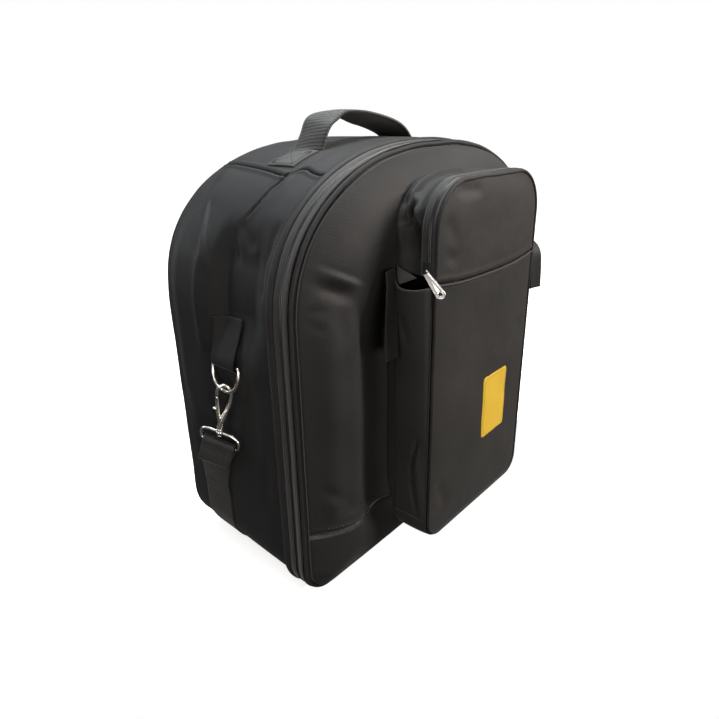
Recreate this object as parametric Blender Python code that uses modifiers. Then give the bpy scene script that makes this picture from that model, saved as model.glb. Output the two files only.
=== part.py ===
"""Drum bag: an arched, padded carrying bag whose front is a zipped lid with a box pocket on it.

Frame: metres, +X to the bag's right, +Y to its back, +Z up.
The origin is the middle of the bag's footprint, on the floor.
Inside this file the depth is first laid out from the front seam (y = 0 there, the back at
BAG_DEPTH), and every object is moved by -ORIGIN_Y at the end.
"""
import math

import bmesh
import bpy
from mathutils import Matrix, Vector

# ---------------------------------------------------------------- driving sizes (metres)
BAG_HEIGHT = 0.440          # floor to the top of the front piping
BAG_WIDTH = 0.429           # across the straight sides
WALL = BAG_WIDTH / 2
BAG_DEPTH = 0.1853          # front seam to back seam
SIDE_TOP = 0.2873           # height where the straight side turns into the arch
ARCH_POWER = 2.33           # superellipse power of the arch
CORNER_FRONT = 0.034        # bottom corner radius at the front seam
CORNER_BACK = 0.060         # bottom corner radius at the back seam
ORIGIN_Y = 0.05183          # depth of the footprint's middle behind the front seam

GAP = 0.0003                # clearance between touching pieces
FABRIC = 0.0012             # outer cloth with its coating
FOAM = 0.0040               # padding
LINING = 0.0006             # inner cloth
PIPING_R = 0.0022           # piping at the two main seams
BASE_LIFT = 0.0030          # the bottom panel hangs this far above the floor
BOARD = 0.0020              # stiffener board in the bottom

LID_BULGE = 0.0280          # how far the padded lid stands forward of its seam
LID_RAMP = 0.060            # distance from the seam over which it does so
LID_SEAM_Z = 0.0652         # seam between the lid's upper and lower panels

CHAIN_GAP = 0.0009          # the line between the two rows of zip coil
LID_ZIP = (0.0025, 0.0108)  # the lid's half of the zip, tape and coil
BODY_ZIP = (0.0117, 0.0205)
ZIP_FLAP = (0.0208, 0.0271)
GUSSET_Y = (0.0274, BAG_DEPTH - 0.0047)
HINGE_Y = 0.0127            # line of the lid's cloth hinge, at floor height

POCKET_HALF = 0.0973
POCKET_Z = (0.0361, 0.4121)
POCKET_FRONT = -0.0699
POCKET_TOP_R = 0.047
POCKET_BOTTOM_R = 0.022
POCKET_SEAM_Z = 0.3225
POCKET_ZIP_Z = 0.3280       # the pocket's zip starts here on both sides
POCKET_PIPING_R = 0.0018
P_FLAP_ZIP = (-0.0660, -0.0601)
P_GUSSET_ZIP = (-0.0592, -0.0535)
P_GUSSET_Y = -0.0532

WEBBING = 0.038             # width of handle and strap webbing
RING_Y = 0.0905             # depth of the D-rings
RING_Z = 0.2430             # height of the D-ring's bar
RING_X = BAG_WIDTH / 2 + 0.0043
RING_TILT = math.radians(9)  # the hook holds the ring's bow a little away from the cloth
EYE_X = RING_X + 0.0045
HOOK_X = BAG_WIDTH / 2 + 0.0135

NC, NS, NA = 4, 3, 10       # outline steps: corner, side, half arch

# ---------------------------------------------------------------- scene set-up
for old in list(bpy.data.objects):
    bpy.data.objects.remove(old, do_unlink=True)
PARTS = bpy.data.collections.new("drum_bag")
CUTTERS = bpy.data.collections.new("cutters")
bpy.context.scene.collection.children.link(PARTS)
bpy.context.scene.collection.children.link(CUTTERS)


def material(name, colour, rough, metal=0.0):
    m = bpy.data.materials.new(name)
    m.use_nodes = True
    p = m.node_tree.nodes["Principled BSDF"]
    p.inputs["Base Color"].default_value = (*colour, 1.0)
    p.inputs["Roughness"].default_value = rough
    p.inputs["Metallic"].default_value = metal
    return m


CLOTH = ((0.030, 0.030, 0.033), 0.80, 0.0)
TRIM = ((0.018, 0.018, 0.020), 0.75, 0.0)
PAD = ((0.20, 0.20, 0.21), 0.95, 0.0)
INNER = ((0.045, 0.045, 0.050), 0.85, 0.0)
COIL = ((0.015, 0.015, 0.016), 0.45, 0.0)
WEB = ((0.040, 0.040, 0.044), 0.70, 0.0)
STEEL = ((0.75, 0.74, 0.71), 0.22, 1.0)
YELLOW = ((0.90, 0.62, 0.03), 0.60, 0.0)


def link(obj, look, collection=PARTS):
    collection.objects.link(obj)
    if look:
        obj.data.materials.append(material(obj.name + "_mat", *look))
    return obj


def surface(name, rows, look, outward, closed=False):
    """An open sheet through rows of points, its faces looking along outward(point)."""
    me = bpy.data.meshes.new(name)
    verts = [p for row in rows for p in row]
    n = len(rows[0])
    faces = []
    for i in range(len(rows) - (0 if closed else 1)):
        a, b = i * n, ((i + 1) % len(rows)) * n
        for j in range(n - 1):
            faces.append((a + j, a + j + 1, b + j + 1, b + j))
    me.from_pydata([tuple(v) for v in verts], [], faces)
    me.update()
    poly = max(me.polygons, key=lambda f: f.area)
    if poly.normal.dot(Vector(outward(poly.center))) < 0:
        me.flip_normals()
    me.update()
    return link(bpy.data.objects.new(name, me), look)


def thicken(obj, amount, even=True):
    m = obj.modifiers.new("thickness", "SOLIDIFY")
    m.thickness = amount
    m.offset = -1.0
    m.use_even_offset = even
    return obj


def sink(obj, depth):
    """Move a sheet's points along its inward normal, to lie under another layer."""
    for v in obj.data.vertices:
        v.co = v.co - v.normal * depth
    obj.data.update()
    return obj


# ---------------------------------------------------------------- the bag's outline
def half_outline(corner, inset=0.0):
    """Right half of the arched outline, bottom middle to apex, moved in by inset."""
    w = BAG_WIDTH / 2
    pts = [(0.0, 0.0), ((w - corner) * 0.5, 0.0)]
    for i in range(NC + 1):
        a = math.pi / 2 * i / NC
        pts.append((w - corner + corner * math.sin(a), corner - corner * math.cos(a)))
    for i in range(1, NS + 1):
        pts.append((w, corner + (SIDE_TOP - corner) * i / NS))
    for i in range(1, NA + 1):
        a = math.pi / 2 * i / NA
        x = w * max(math.cos(a), 0.0) ** (2 / ARCH_POWER) if i < NA else 0.0
        pts.append((x, SIDE_TOP + (BAG_HEIGHT - SIDE_TOP) * math.sin(a) ** (2 / ARCH_POWER)))
    return moved_in(pts, inset)


def moved_in(pts, inset):
    out = []
    for i, p in enumerate(pts):
        a = pts[max(i - 1, 0)]
        b = pts[min(i + 1, len(pts) - 1)]
        if i == 0:
            n = (0.0, 1.0)
        elif i == len(pts) - 1:
            n = (0.0, -1.0)
        else:
            d1 = Vector((p[0] - a[0], p[1] - a[1])).normalized()
            d2 = Vector((b[0] - p[0], b[1] - p[1])).normalized()
            t = (d1 + d2).normalized()
            k = 1.0 / max(0.5, math.sqrt((1 + d1.dot(d2)) / 2))
            n = (-t.y * k, t.x * k)
        out.append((p[0] + n[0] * inset, p[1] + n[1] * inset))
    return out


APEX = 2 + NC + NS + NA - 1 + 0
MID_CORNER = 2 + NC // 2
SEAM_TOP = 2 + NC + NS + 6


def whole_outline(corner, inset=0.0):
    """Closed outline: right half from the bottom middle, then the left half back down."""
    right = half_outline(corner, inset)
    left = [(-x, z) for x, z in right[-2:0:-1]]
    return right + left


def span(corner, inset, first, last, left_too=True):
    """Outline from point `first` on the right up to `last`; over the top to the mirrored
    point on the left if left_too."""
    right = half_outline(corner, inset)
    if left_too:
        return right[first:] + [(-x, z) for x, z in right[-2:first - 1 if first else None:-1]]
    return right[first:last + 1]


def trimmed(path, start=GAP / 2, end=GAP / 2):
    path = [Vector((p[0], p[1])) for p in path]
    path[0] = path[0] + (path[1] - path[0]).normalized() * start
    path[-1] = path[-1] + (path[-2] - path[-1]).normalized() * end
    return [(p.x, p.y) for p in path]


def outward_ring(c):
    return (c.x, 0.0, c.z - 0.2)


def corner_at(y):
    return CORNER_FRONT + (CORNER_BACK - CORNER_FRONT) * min(max(y / BAG_DEPTH, 0), 1)


def lifted(path):
    """The soft panels hang a little above the floor between the two piped seams."""
    return [(x, z + BASE_LIFT * max(0.0, 1 - z / 0.06)) for x, z in path]


def band(name, y0, y1, first, last, inset, depth, look, over=True, mirror=False, steps=1):
    """A strip of cloth or foam that follows the outline between two depths."""
    rows = []
    for k in range(steps + 1):
        y = y0 + (y1 - y0) * k / steps
        ends = 0.0006 if first == MID_CORNER else GAP / 2
        path = trimmed(span(corner_at(y), inset, first, last, over), ends, ends)
        if first != MID_CORNER:
            path = lifted(path)
        if mirror:
            path = [(-x, z) for x, z in path]
        rows.append([(x, y, z) for x, z in path])
    return thicken(surface(name, rows, look, outward_ring), depth)


def tube(name, pts, radius, look, closed=False, radii=None, res=1):
    cu = bpy.data.curves.new(name, "CURVE")
    cu.dimensions = "3D"
    cu.bevel_depth = radius
    cu.bevel_resolution = res
    cu.use_fill_caps = not closed
    sp = cu.splines.new("POLY")
    sp.points.add(len(pts) - 1)
    for i, p in enumerate(pts):
        sp.points[i].co = (*p, 1.0)
        sp.points[i].radius = (radii[i] / radius) if radii else 1.0
    sp.use_cyclic_u = closed
    sp.use_smooth = True
    return link(bpy.data.objects.new(name, cu), look)


DRAWN = 1000                # flat outlines are drawn at this scale, so that small ones fill well


def plate(name, outline, half, matrix, look, holes=(), collection=PARTS):
    """A flat outline, with holes, filled on both sides and given a thickness."""
    cu = bpy.data.curves.new(name, "CURVE")
    cu.dimensions = "2D"
    cu.fill_mode = "BOTH"
    cu.extrude = half * DRAWN
    for ring in (outline, *holes):
        sp = cu.splines.new("POLY")
        sp.points.add(len(ring) - 1)
        for i, p in enumerate(ring):
            sp.points[i].co = (p[0] * DRAWN, p[1] * DRAWN, 0.0, 1.0)
        sp.use_cyclic_u = True
    obj = link(bpy.data.objects.new(name, cu), look, collection)
    obj.matrix_world = matrix @ Matrix.Scale(1 / DRAWN, 4)
    return obj


def as_mesh(obj):
    """The curve's own shape as a closed mesh object, in the curve's place."""
    bpy.context.view_layer.update()
    deps = bpy.context.evaluated_depsgraph_get()
    me = bpy.data.meshes.new_from_object(obj.evaluated_get(deps))
    place, turn, size = obj.matrix_world.decompose()
    me.transform(Matrix.Diagonal((*size, 1.0)))
    bm = bmesh.new()
    bm.from_mesh(me)
    bmesh.ops.remove_doubles(bm, verts=bm.verts, dist=1e-6)
    bmesh.ops.recalc_face_normals(bm, faces=bm.faces)
    bm.to_mesh(me)
    bm.free()
    where = Matrix.Translation(place) @ turn.to_matrix().to_4x4()
    name, mats = obj.name, list(obj.data.materials)
    home = obj.users_collection[0]
    bpy.data.objects.remove(obj, do_unlink=True)
    new = bpy.data.objects.new(name, me)
    if not me.materials:
        for m in mats:
            me.materials.append(m)
    home.objects.link(new)
    new.matrix_world = where
    return new


def cylinder(name, radius, length, centre, axis, sides=12, look=None):
    bm = bmesh.new()
    bmesh.ops.create_cone(bm, cap_ends=True, segments=sides, radius1=radius, radius2=radius,
                          depth=length)
    me = bpy.data.meshes.new(name)
    bm.to_mesh(me)
    bm.free()
    obj = bpy.data.objects.new(name, me)
    (PARTS if look else CUTTERS).objects.link(obj)
    if look:
        me.materials.append(material(name + "_mat", *look))
    else:
        obj.hide_render = True
        obj.display_type = "WIRE"
    turn = Vector((0, 0, 1)).rotation_difference(Vector(axis))
    obj.matrix_world = Matrix.Translation(centre) @ turn.to_matrix().to_4x4()
    return obj


def cut(obj, other, how):
    m = obj.modifiers.new(how.lower(), "BOOLEAN")
    m.operation = how
    m.object = other
    m.solver = "EXACT"


def frame_of(origin, across, up):
    """Matrix whose local x is `across`, local y is `up`, at origin."""
    x, y = Vector(across).normalized(), Vector(up).normalized()
    z = x.cross(y).normalized()
    m = Matrix((x, y, z)).transposed().to_4x4()
    m.translation = Vector(origin)
    return m


# ---------------------------------------------------------------- main body of the bag
band("side_panel_right", *GUSSET_Y, 2, SEAM_TOP, 0.0, FABRIC, CLOTH, over=False, steps=2)
band("side_panel_left", *GUSSET_Y, 2, SEAM_TOP, 0.0, FABRIC, CLOTH, over=False, mirror=True,
     steps=2)
band("top_panel", *GUSSET_Y, SEAM_TOP, None, 0.0, FABRIC, CLOTH)
band("side_foam", GUSSET_Y[0], GUSSET_Y[1], 2, None, FABRIC + GAP, FOAM, PAD)


def flat_bottom(name, y0, y1, z, thick, look, edge=0.0):
    """A flat rectangle between the bottom corners, its lower face at height z."""
    bm = bmesh.new()
    bmesh.ops.create_cube(bm, size=1.0)
    half = [BAG_WIDTH / 2 - corner_at(y) - GAP / 2 - edge for y in (y0, y1)]
    for v in bm.verts:
        y = y0 if v.co.y < 0 else y1
        h = half[0] if v.co.y < 0 else half[1]
        v.co = Vector((math.copysign(h, v.co.x), y, z if v.co.z < 0 else z + thick))
    me = bpy.data.meshes.new(name)
    bm.to_mesh(me)
    bm.free()
    return link(bpy.data.objects.new(name, me), look)


flat_bottom("bottom_panel", *GUSSET_Y, BASE_LIFT, FABRIC, CLOTH, edge=0.0014)
flat_bottom("bottom_board", *GUSSET_Y, BASE_LIFT + FABRIC + GAP, BOARD, TRIM, edge=0.004)
flat_bottom("bottom_foam", GUSSET_Y[0], BAG_DEPTH - 0.0090, BASE_LIFT + FABRIC + BOARD + 2 * GAP, FOAM, PAD,
            edge=0.010)

# body lining: one cloth liner round the inside, open at the front
LINING_IN = FABRIC + FOAM + 2 * GAP
rows = []
for y in (GUSSET_Y[0], (GUSSET_Y[0] + GUSSET_Y[1]) / 2, BAG_DEPTH - 0.0095):
    ring = whole_outline(corner_at(y), LINING_IN + 0.0002)
    floor = BASE_LIFT + FABRIC + BOARD + FOAM + 3 * GAP + 0.0007
    rows.append([(x, y, max(z, floor)) for x, z in lifted(ring)])
n = len(rows[0])
me = bpy.data.meshes.new("body_lining")
verts = [p for row in rows for p in row]
faces = []
for i in range(len(rows) - 1):
    for j in range(n):
        a, b = i * n + j, i * n + (j + 1) % n
        faces.append((a, b, b + n, a + n))
faces.append(tuple(range((len(rows) - 1) * n, len(rows) * n)))
me.from_pydata(verts, [], faces)
me.update()
poly = me.polygons[n // 4]
if poly.normal.dot(Vector(outward_ring(poly.center))) < 0:
    me.flip_normals()
lining = link(bpy.data.objects.new("body_lining", me), INNER)
thicken(lining, LINING)


def flat_outline(name, inset, y0, y1, corner, look):
    """A flat sheet of the bag's outline between two depths."""
    pts = whole_outline(corner, inset)
    # local x is the bag's X, local y its Z, so local z is -Y
    m = frame_of((0, (y0 + y1) / 2, 0), (1, 0, 0), (0, 0, 1))
    return as_mesh(plate(name, pts, abs(y1 - y0) / 2, m, look))


flat_outline("back_panel", 2 * PIPING_R + 0.0008, BAG_DEPTH - 0.0032, BAG_DEPTH - 0.0020,
             CORNER_BACK, CLOTH)
flat_outline("back_foam", LINING_IN + 0.0038, BAG_DEPTH - 0.0085, BAG_DEPTH - 0.0035,
             CORNER_BACK, PAD)
tube("back_piping", [(x, BAG_DEPTH - PIPING_R, z)
                     for x, z in whole_outline(CORNER_BACK, PIPING_R + 0.0002)],
     PIPING_R - 0.0001, TRIM, closed=True)

# zip, body side: covering flap, and the tape with its half of the coil, corner to corner
band("zip_flap_strip", *ZIP_FLAP, MID_CORNER, None, 0.0, 0.0015, TRIM)
band("body_zip_half", *BODY_ZIP, MID_CORNER, None, 0.0, 0.0014, TRIM)


def under_strip(name, y0, y1, look):
    """The strip under the bag that carries on the zip's line between the corners."""
    right = half_outline(corner_at(y0), 0.0)[1:MID_CORNER + 1]
    path = [(-x, z) for x, z in right[::-1]] + right
    path = trimmed(path, 0.0006, 0.0006)
    rows = [[(x, y, z) for x, z in path] for y in (y0, y1)]
    return thicken(surface(name, rows, look, outward_ring), FABRIC)


under_strip("hinge_strip", HINGE_Y + GAP, ZIP_FLAP[1], TRIM)

# ---------------------------------------------------------------- the lid
band("lid_zip_half", *LID_ZIP, MID_CORNER, None, 0.0, 0.0014, TRIM)
under_strip("lid_bottom_strip", LID_ZIP[0], HINGE_Y - GAP, TRIM)
tube("lid_piping", [(x, 0.0, z) for x, z in whole_outline(CORNER_FRONT, PIPING_R + 0.0001)],
     PIPING_R - 0.0001, TRIM, closed=True)


def arch_z(x):
    """Height of the outline above a point x."""
    t = min(abs(x) / (BAG_WIDTH / 2), 1.0)
    return SIDE_TOP + (BAG_HEIGHT - SIDE_TOP) * (1 - t ** ARCH_POWER) ** (1 / ARCH_POWER)


def arch_x(z):
    t = min(max((z - SIDE_TOP) / (BAG_HEIGHT - SIDE_TOP), 0.0), 1.0)
    return BAG_WIDTH / 2 * (1 - t ** ARCH_POWER) ** (1 / ARCH_POWER)


def from_seam(x, z):
    """Roughly how far a point of the lid lies from its seam."""
    side = arch_x(z) - abs(x)
    top = arch_z(x) - z
    over = side * top / math.hypot(side, top) if side > 0 and top > 0 else 0.0
    near = min(over, z, side)
    inside = WALL - CORNER_FRONT
    if abs(x) > inside and z < CORNER_FRONT:
        near = min(near, CORNER_FRONT - math.hypot(abs(x) - inside, z - CORNER_FRONT))
    return max(0.0, near)


def lid_y(x, z):
    d = min(from_seam(x, z) / LID_RAMP, 1.0)
    return -0.0004 - LID_BULGE * (1 - (1 - d) ** 2)


def half_width(z, corner, inset):
    pts = half_outline(corner, inset)[2:]
    for (x0, z0), (x1, z1) in zip(pts, pts[1:]):
        if z0 <= z <= z1:
            return x0 + (x1 - x0) * (z - z0) / max(z1 - z0, 1e-9)
    return pts[0][0] if z < pts[0][1] else 0.0


def lid_sheet(name, z_from, z_to, depth, thick, look, cols=10):
    inset = LID_EDGE
    pts = half_outline(CORNER_FRONT, inset)
    levels = [z for x, z in pts[2:-1] if z_from < z < z_to and abs(z - LID_SEAM_Z) > 0.001]
    if z_from < LID_SEAM_Z - 0.001 and z_to > LID_SEAM_Z + 0.001:
        levels.append(LID_SEAM_Z)
    low, high = max(z_from, pts[0][1]), min(z_to, pts[-1][1] - 0.0006)
    levels = [low] + sorted(z for z in levels if low + 2e-4 < z < high - 2e-4) + [high]
    rows = []
    for z in levels:
        h = half_width(z, CORNER_FRONT, inset)
        rows.append([(h * math.sin(math.pi / 2 * (2 * j / cols - 1)), 0.0, z)
                     for j in range(cols + 1)])
    rows = [[(x, lid_y(x, z) + depth, z) for x, y, z in row] for row in rows]
    obj = surface(name, rows, look, lambda c: (0, -1, 0))
    bm = bmesh.new()
    bm.from_mesh(obj.data)
    front = list(bm.faces)
    made = bmesh.ops.extrude_face_region(bm, geom=front, use_keep_orig=True)
    behind = [v for v in made["geom"] if isinstance(v, bmesh.types.BMVert)]
    bmesh.ops.translate(bm, verts=behind, vec=(0, thick, 0))
    bmesh.ops.recalc_face_normals(bm, faces=bm.faces)
    bm.to_mesh(obj.data)
    bm.free()
    return obj


LID_EDGE = 2 * PIPING_R + 0.0008
lid_sheet("lid_lower_panel", 0.0, LID_SEAM_Z - GAP / 2, 0.0, FABRIC, CLOTH)
lid_sheet("lid_upper_panel", LID_SEAM_Z + GAP / 2, 1.0, 0.0, FABRIC, CLOTH)
lid_sheet("lid_foam", 0.0, 1.0, FABRIC + 0.0005, FOAM, PAD)
lid_sheet("lid_lining", 0.0, 1.0, FABRIC + FOAM + 0.0010, LINING, INNER)


# ---------------------------------------------------------------- front pocket on the lid
def pocket_path(z_from, z_to, inset=0.0):
    """The pocket's rounded outline on the right side from z_from up to z_to."""
    h, (z0, z1) = POCKET_HALF - inset, (POCKET_Z[0] + inset, POCKET_Z[1] - inset)
    rb, rt = POCKET_BOTTOM_R - inset, POCKET_TOP_R - inset
    pts = [(0.0, z0), (h / 2, z0)]
    pts += [(h - rb + rb * math.sin(math.pi / 8 * i), z0 + rb - rb * math.cos(math.pi / 8 * i))
            for i in range(5)]
    side = [0.11, 0.20, 0.27, POCKET_SEAM_Z, POCKET_ZIP_Z]
    pts += [(h, z) for z in side]
    pts += [(h - rt + rt * math.cos(math.pi / 12 * i), z1 - rt + rt * math.sin(math.pi / 12 * i))
            for i in range(7)]
    pts += [(h / 2, z1), (0.0, z1)]
    keep = [p for p in pts if z_from - 1e-6 <= p[1] <= z_to + 1e-6]
    return keep


def over_top(z_from, inset=0.0):
    right = pocket_path(z_from, 1.0, inset)
    return trimmed(right + [(-x, z) for x, z in right[-2::-1]])


def round_bottom(z_to, inset=0.0):
    right = pocket_path(0.0, z_to, inset)
    return trimmed([(-x, z) for x, z in right[:0:-1]] + right)


def pocket_out(c):
    return (c.x, 0.0, c.z - 0.22)


def pocket_band(name, path, y_front, y_back, thick, look):
    """A strip round the pocket; y_back None runs it back to the lid's cloth."""
    front = [(x, y_front, z) for x, z in path]
    if y_back is None:
        back = [(x, lid_y(x, z) - (0.0008 if z < 0.37 else 0.0020), z) for x, z in path]
    else:
        back = [(x, y_back, z) for x, z in path]
    return thicken(surface(name, [front, back], look, pocket_out), thick)


pocket_band("pocket_gusset_upper", over_top(POCKET_ZIP_Z), P_GUSSET_Y, None, FABRIC, CLOTH)
pocket_band("pocket_gusset_lower", round_bottom(POCKET_ZIP_Z), P_FLAP_ZIP[0], None, FABRIC,
            CLOTH)
pocket_band("pocket_zip_gusset_half", over_top(POCKET_ZIP_Z), *P_GUSSET_ZIP, 0.0014, TRIM)
pocket_band("pocket_zip_flap_half", over_top(POCKET_ZIP_Z), *P_FLAP_ZIP, 0.0014, TRIM)
PP = POCKET_PIPING_R
tube("pocket_piping_upper",
     [(x, POCKET_FRONT + PP, z) for x, z in over_top(POCKET_SEAM_Z, PP + 0.0001)],
     PP - 0.0001, TRIM)
tube("pocket_piping_lower",
     [(x, POCKET_FRONT + PP, z) for x, z in round_bottom(POCKET_SEAM_Z, PP + 0.0001)],
     PP - 0.0001, TRIM)


def pocket_front(name, z_from, z_to, look):
    inset = 2 * PP + 0.0006
    pts = [p for p in pocket_path(0.0, 1.0, inset) if p[0] > POCKET_HALF / 2 + 1e-6]
    low, high = max(z_from, POCKET_Z[0] + inset), min(z_to, POCKET_Z[1] - inset)
    levels = {round(z, 6) for x, z in pts if low + 0.0003 < z < high - 0.0003}
    levels = [low] + sorted(levels) + [high]

    def width(z):
        for (x0, a), (x1, b) in zip(pts, pts[1:]):
            if a <= z <= b:
                return x0 + (x1 - x0) * (z - a) / max(b - a, 1e-9)
        return pts[0][0] if z < pts[0][1] else pts[-1][0]
    rows = [[(width(z) * (2 * j / 6 - 1), POCKET_FRONT + 0.0009, z) for j in range(7)]
            for z in levels]
    return thicken(surface(name, rows, look, lambda c: (0, -1, 0)), FABRIC)


pocket_front("pocket_front_upper", POCKET_SEAM_Z + GAP / 2, 1.0, CLOTH)
pocket_front("pocket_front_lower", 0.0, POCKET_SEAM_Z - GAP / 2, CLOTH)


def rounded(w, h, r, steps=3, cx=0.0, cy=0.0):
    out = []
    for sx, sy, a0 in ((1, -1, -90), (1, 1, 0), (-1, 1, 90), (-1, -1, 180)):
        for i in range(steps + 1):
            a = math.radians(a0 + 90 * i / steps)
            out.append((cx + sx * (w / 2 - r) + r * math.cos(a),
                        cy + sy * (h / 2 - r) + r * math.sin(a)))
    return out


as_mesh(plate("front_badge", rounded(0.046, 0.066, 0.007), 0.0004,
              frame_of((0.024, POCKET_FRONT + 0.0009 - GAP - 0.0004, 0.160), (1, 0, 0),
                       (0, 0, 1)), YELLOW))


# open-topped slip pockets outside the pocket's two sides
SLIP_Y = (-0.0655, -0.0330)
SLIP_BOTTOM = 0.062


def slip_pocket(name, s):
    rows = []
    for i in range(7):
        t = i / 6
        row = []
        for j in range(6):
            v = j / 5
            mouth = 0.3190 - 0.0050 * v
            z = SLIP_BOTTOM + (mouth - SLIP_BOTTOM) * t
            y = SLIP_Y[0] + (SLIP_Y[1] - SLIP_Y[0]) * v
            swell = math.sin(math.pi * v) ** 0.6 * (0.0015 + 0.0085 * t ** 2)
            row.append((s * (POCKET_HALF + 0.0016 + swell), y, z))
        rows.append(row)
    return thicken(surface(name, rows, CLOTH, lambda c: (s, 0, 0)), 0.0010)


slip_pocket("slip_pocket_left", -1)
slip_pocket("slip_pocket_right", 1)

TAB_Y = -LID_BULGE - 0.0004 - 0.0022


def side_tab(name, s):
    """A flat webbing tab sewn to the lid beside the pocket, hanging free below its seam."""
    m = frame_of((s * 0.1184, TAB_Y, 0.2910), (1, 0, 0), (0, 0, 1))
    return as_mesh(plate(name, rounded(0.0180, 0.0840, 0.003, 2), 0.0008, m, WEB))


side_tab("side_tab_left", -1)
side_tab("side_tab_right", 1)


# ---------------------------------------------------------------- zip sliders and pulls
LUG = 0.0014                # the pull's pivot above the slider's face


def slider(name, s, x_face, y_mid, z, half_y, lug_axis=(0, 1, 0)):
    """Two plates with a thin web between them, which runs in the line between the coils."""
    top, bottom = 0.0022, -0.0030
    web = 0.00025
    prof = [(-half_y, 0.0006), (-half_y, top), (half_y, top), (half_y, 0.0006), (web, 0.0009),
            (web, -0.0021), (half_y, -0.0018), (half_y, bottom), (-half_y, bottom),
            (-half_y, -0.0018), (-web, -0.0021), (-web, 0.0009)]
    if s > 0:
        m = frame_of((x_face, y_mid, z), (0, 1, 0), (1, 0, 0))
    else:
        m = frame_of((x_face, y_mid, z), (0, 1, 0), (-1, 0, 0))
    body = as_mesh(plate(name, prof, 0.0065, m, STEEL))
    lug = cylinder(name + "_lug", 0.0024, 0.0034,
                   (x_face + s * (top + LUG), y_mid, z - 0.0015), lug_axis, 14)
    cut(body, lug, "UNION")
    return body


def pull(name, pivot, down, out, length):
    """A flat puller with a fork at its top, hung on the slider's lug."""
    w0, w1 = 0.0033, 0.0042
    body = [(-w0, 0.0010), (-0.0021, 0.0010), (-0.0021, -0.0042), (0.0021, -0.0042),
            (0.0021, 0.0010), (w0, 0.0010), (w1, -length + 0.0042)]
    body += [(w1 * math.cos(a), -length + 0.0042 - 0.0042 * math.sin(a))
             for a in [math.pi * i / 6 for i in range(1, 6)]]
    body += [(-w1, -length + 0.0042)]
    hole = [(0.0019 * math.cos(2 * math.pi * i / 8),
             -length + 0.0044 + 0.0019 * math.sin(2 * math.pi * i / 8)) for i in range(8)]
    up = -Vector(down).normalized()
    across = up.cross(Vector(out)).normalized()
    m = frame_of(pivot, across, up)
    return as_mesh(plate(name, body, 0.0006, m, STEEL, holes=(hole,)))


ZIP_Y = (LID_ZIP[1] + BODY_ZIP[0]) / 2
for name, z in (("main_slider_upper", 0.160), ("main_slider_lower", 0.122)):
    slider(name, 1, WALL, ZIP_Y, z, 0.0038)
    pull(name.replace("slider", "pull"), (WALL + 0.0022 + LUG, ZIP_Y, z - 0.0015),
         (0, 0, -1), (1, 0, 0), 0.0270)
P_ZIP_Y = (P_FLAP_ZIP[1] + P_GUSSET_ZIP[0]) / 2
PS_Z = 0.3350
LEAN = math.radians(44)       # the pull lies forward of straight down
slider("pocket_slider", -1, -POCKET_HALF, P_ZIP_Y, PS_Z, 0.0032,
       (0, math.cos(LEAN), -math.sin(LEAN)))
pull("pocket_pull", (-POCKET_HALF - 0.0022 - LUG, P_ZIP_Y, PS_Z - 0.0015),
     (0, -math.sin(LEAN), -math.cos(LEAN)), (-1, 0, 0), 0.02985)

# ---------------------------------------------------------------- carrying handle
HANDLE_Y = BAG_DEPTH / 2
ARCH_PTS = [(-0.0895, 0.4428), (-0.0850, 0.4510), (-0.0790, 0.4585), (-0.0700, 0.4650),
            (-0.0560, 0.4688), (-0.0380, 0.4700), (-0.0200, 0.4686), (-0.0020, 0.4652),
            (0.0150, 0.4612), (0.0290, 0.4564), (0.0400, 0.4508), (0.0520, 0.4428)]


def web_strip(name, path, y_mid, width, thick, look, outward):
    rows = [[(x, y, z) for x, z in path] for y in (y_mid - width / 2, y_mid + width / 2)]
    return thicken(surface(name, rows, look, outward), thick)


def handle_out(c):
    return (c.x + 0.012, 0.0, c.z - 0.40)


web_strip("handle", ARCH_PTS[1:-1], HANDLE_Y, WEBBING, 0.0024, WEB, handle_out)


def sewn_end(name, x_far, leg):
    """A sewn end of the handle: flat on the top panel, then rising into the handle's leg."""
    chord = span(corner_at(HANDLE_Y), 0.0, SEAM_TOP, None)

    def height(x):
        for (a, za), (b, zb) in zip(chord, chord[1:]):
            if b <= x <= a:
                return za + (zb - za) * (x - a) / (b - a) + 0.0018
        return chord[0][1] + 0.0018
    near = leg[0][0] + 0.0020 * (1 if x_far > leg[0][0] else -1)
    lo, hi = min(x_far, near), max(x_far, near)
    xs = sorted({lo, hi} | {x for x, z in chord if lo + 0.001 < x < hi - 0.001})
    if x_far > near:
        xs = xs[::-1]
    path = [(x, height(x)) for x in xs] + [(leg[0][0], leg[0][1] + 0.0010), leg[1]]
    s = -1 if x_far < near else 1
    return web_strip(name, trimmed(path, 0.0, GAP), HANDLE_Y, WEBBING, 0.0012, WEB,
                     lambda c: (s * 0.3, 0, 1))


sewn_end("handle_end_left", -0.1290, ARCH_PTS[:2])
sewn_end("handle_end_right", 0.1010, ARCH_PTS[:-3:-1])


# ---------------------------------------------------------------- strap rings, hooks, strap
def ring_points(s):
    """The D-ring's wire: a straight bar above a rounded bow."""
    half, drop, n = 0.0203, 0.0270, 12
    pts = [(half * k, 0.0) for k in (-0.78, -0.26, 0.26, 0.78)]
    pts += [(half * 0.97, -0.0016)]
    for i in range(1, n):
        a = math.pi * i / n
        pts.append((half * math.copysign(abs(math.cos(a)) ** 0.75, math.cos(a)),
                    -0.0030 - (drop - 0.0030) * math.sin(a) ** 0.85))
    pts += [(-half * 0.97, -0.0016)]
    return [(s * (RING_X - z * math.sin(RING_TILT)), RING_Y + y,
             RING_Z + z * math.cos(RING_TILT)) for y, z in pts]


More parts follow.
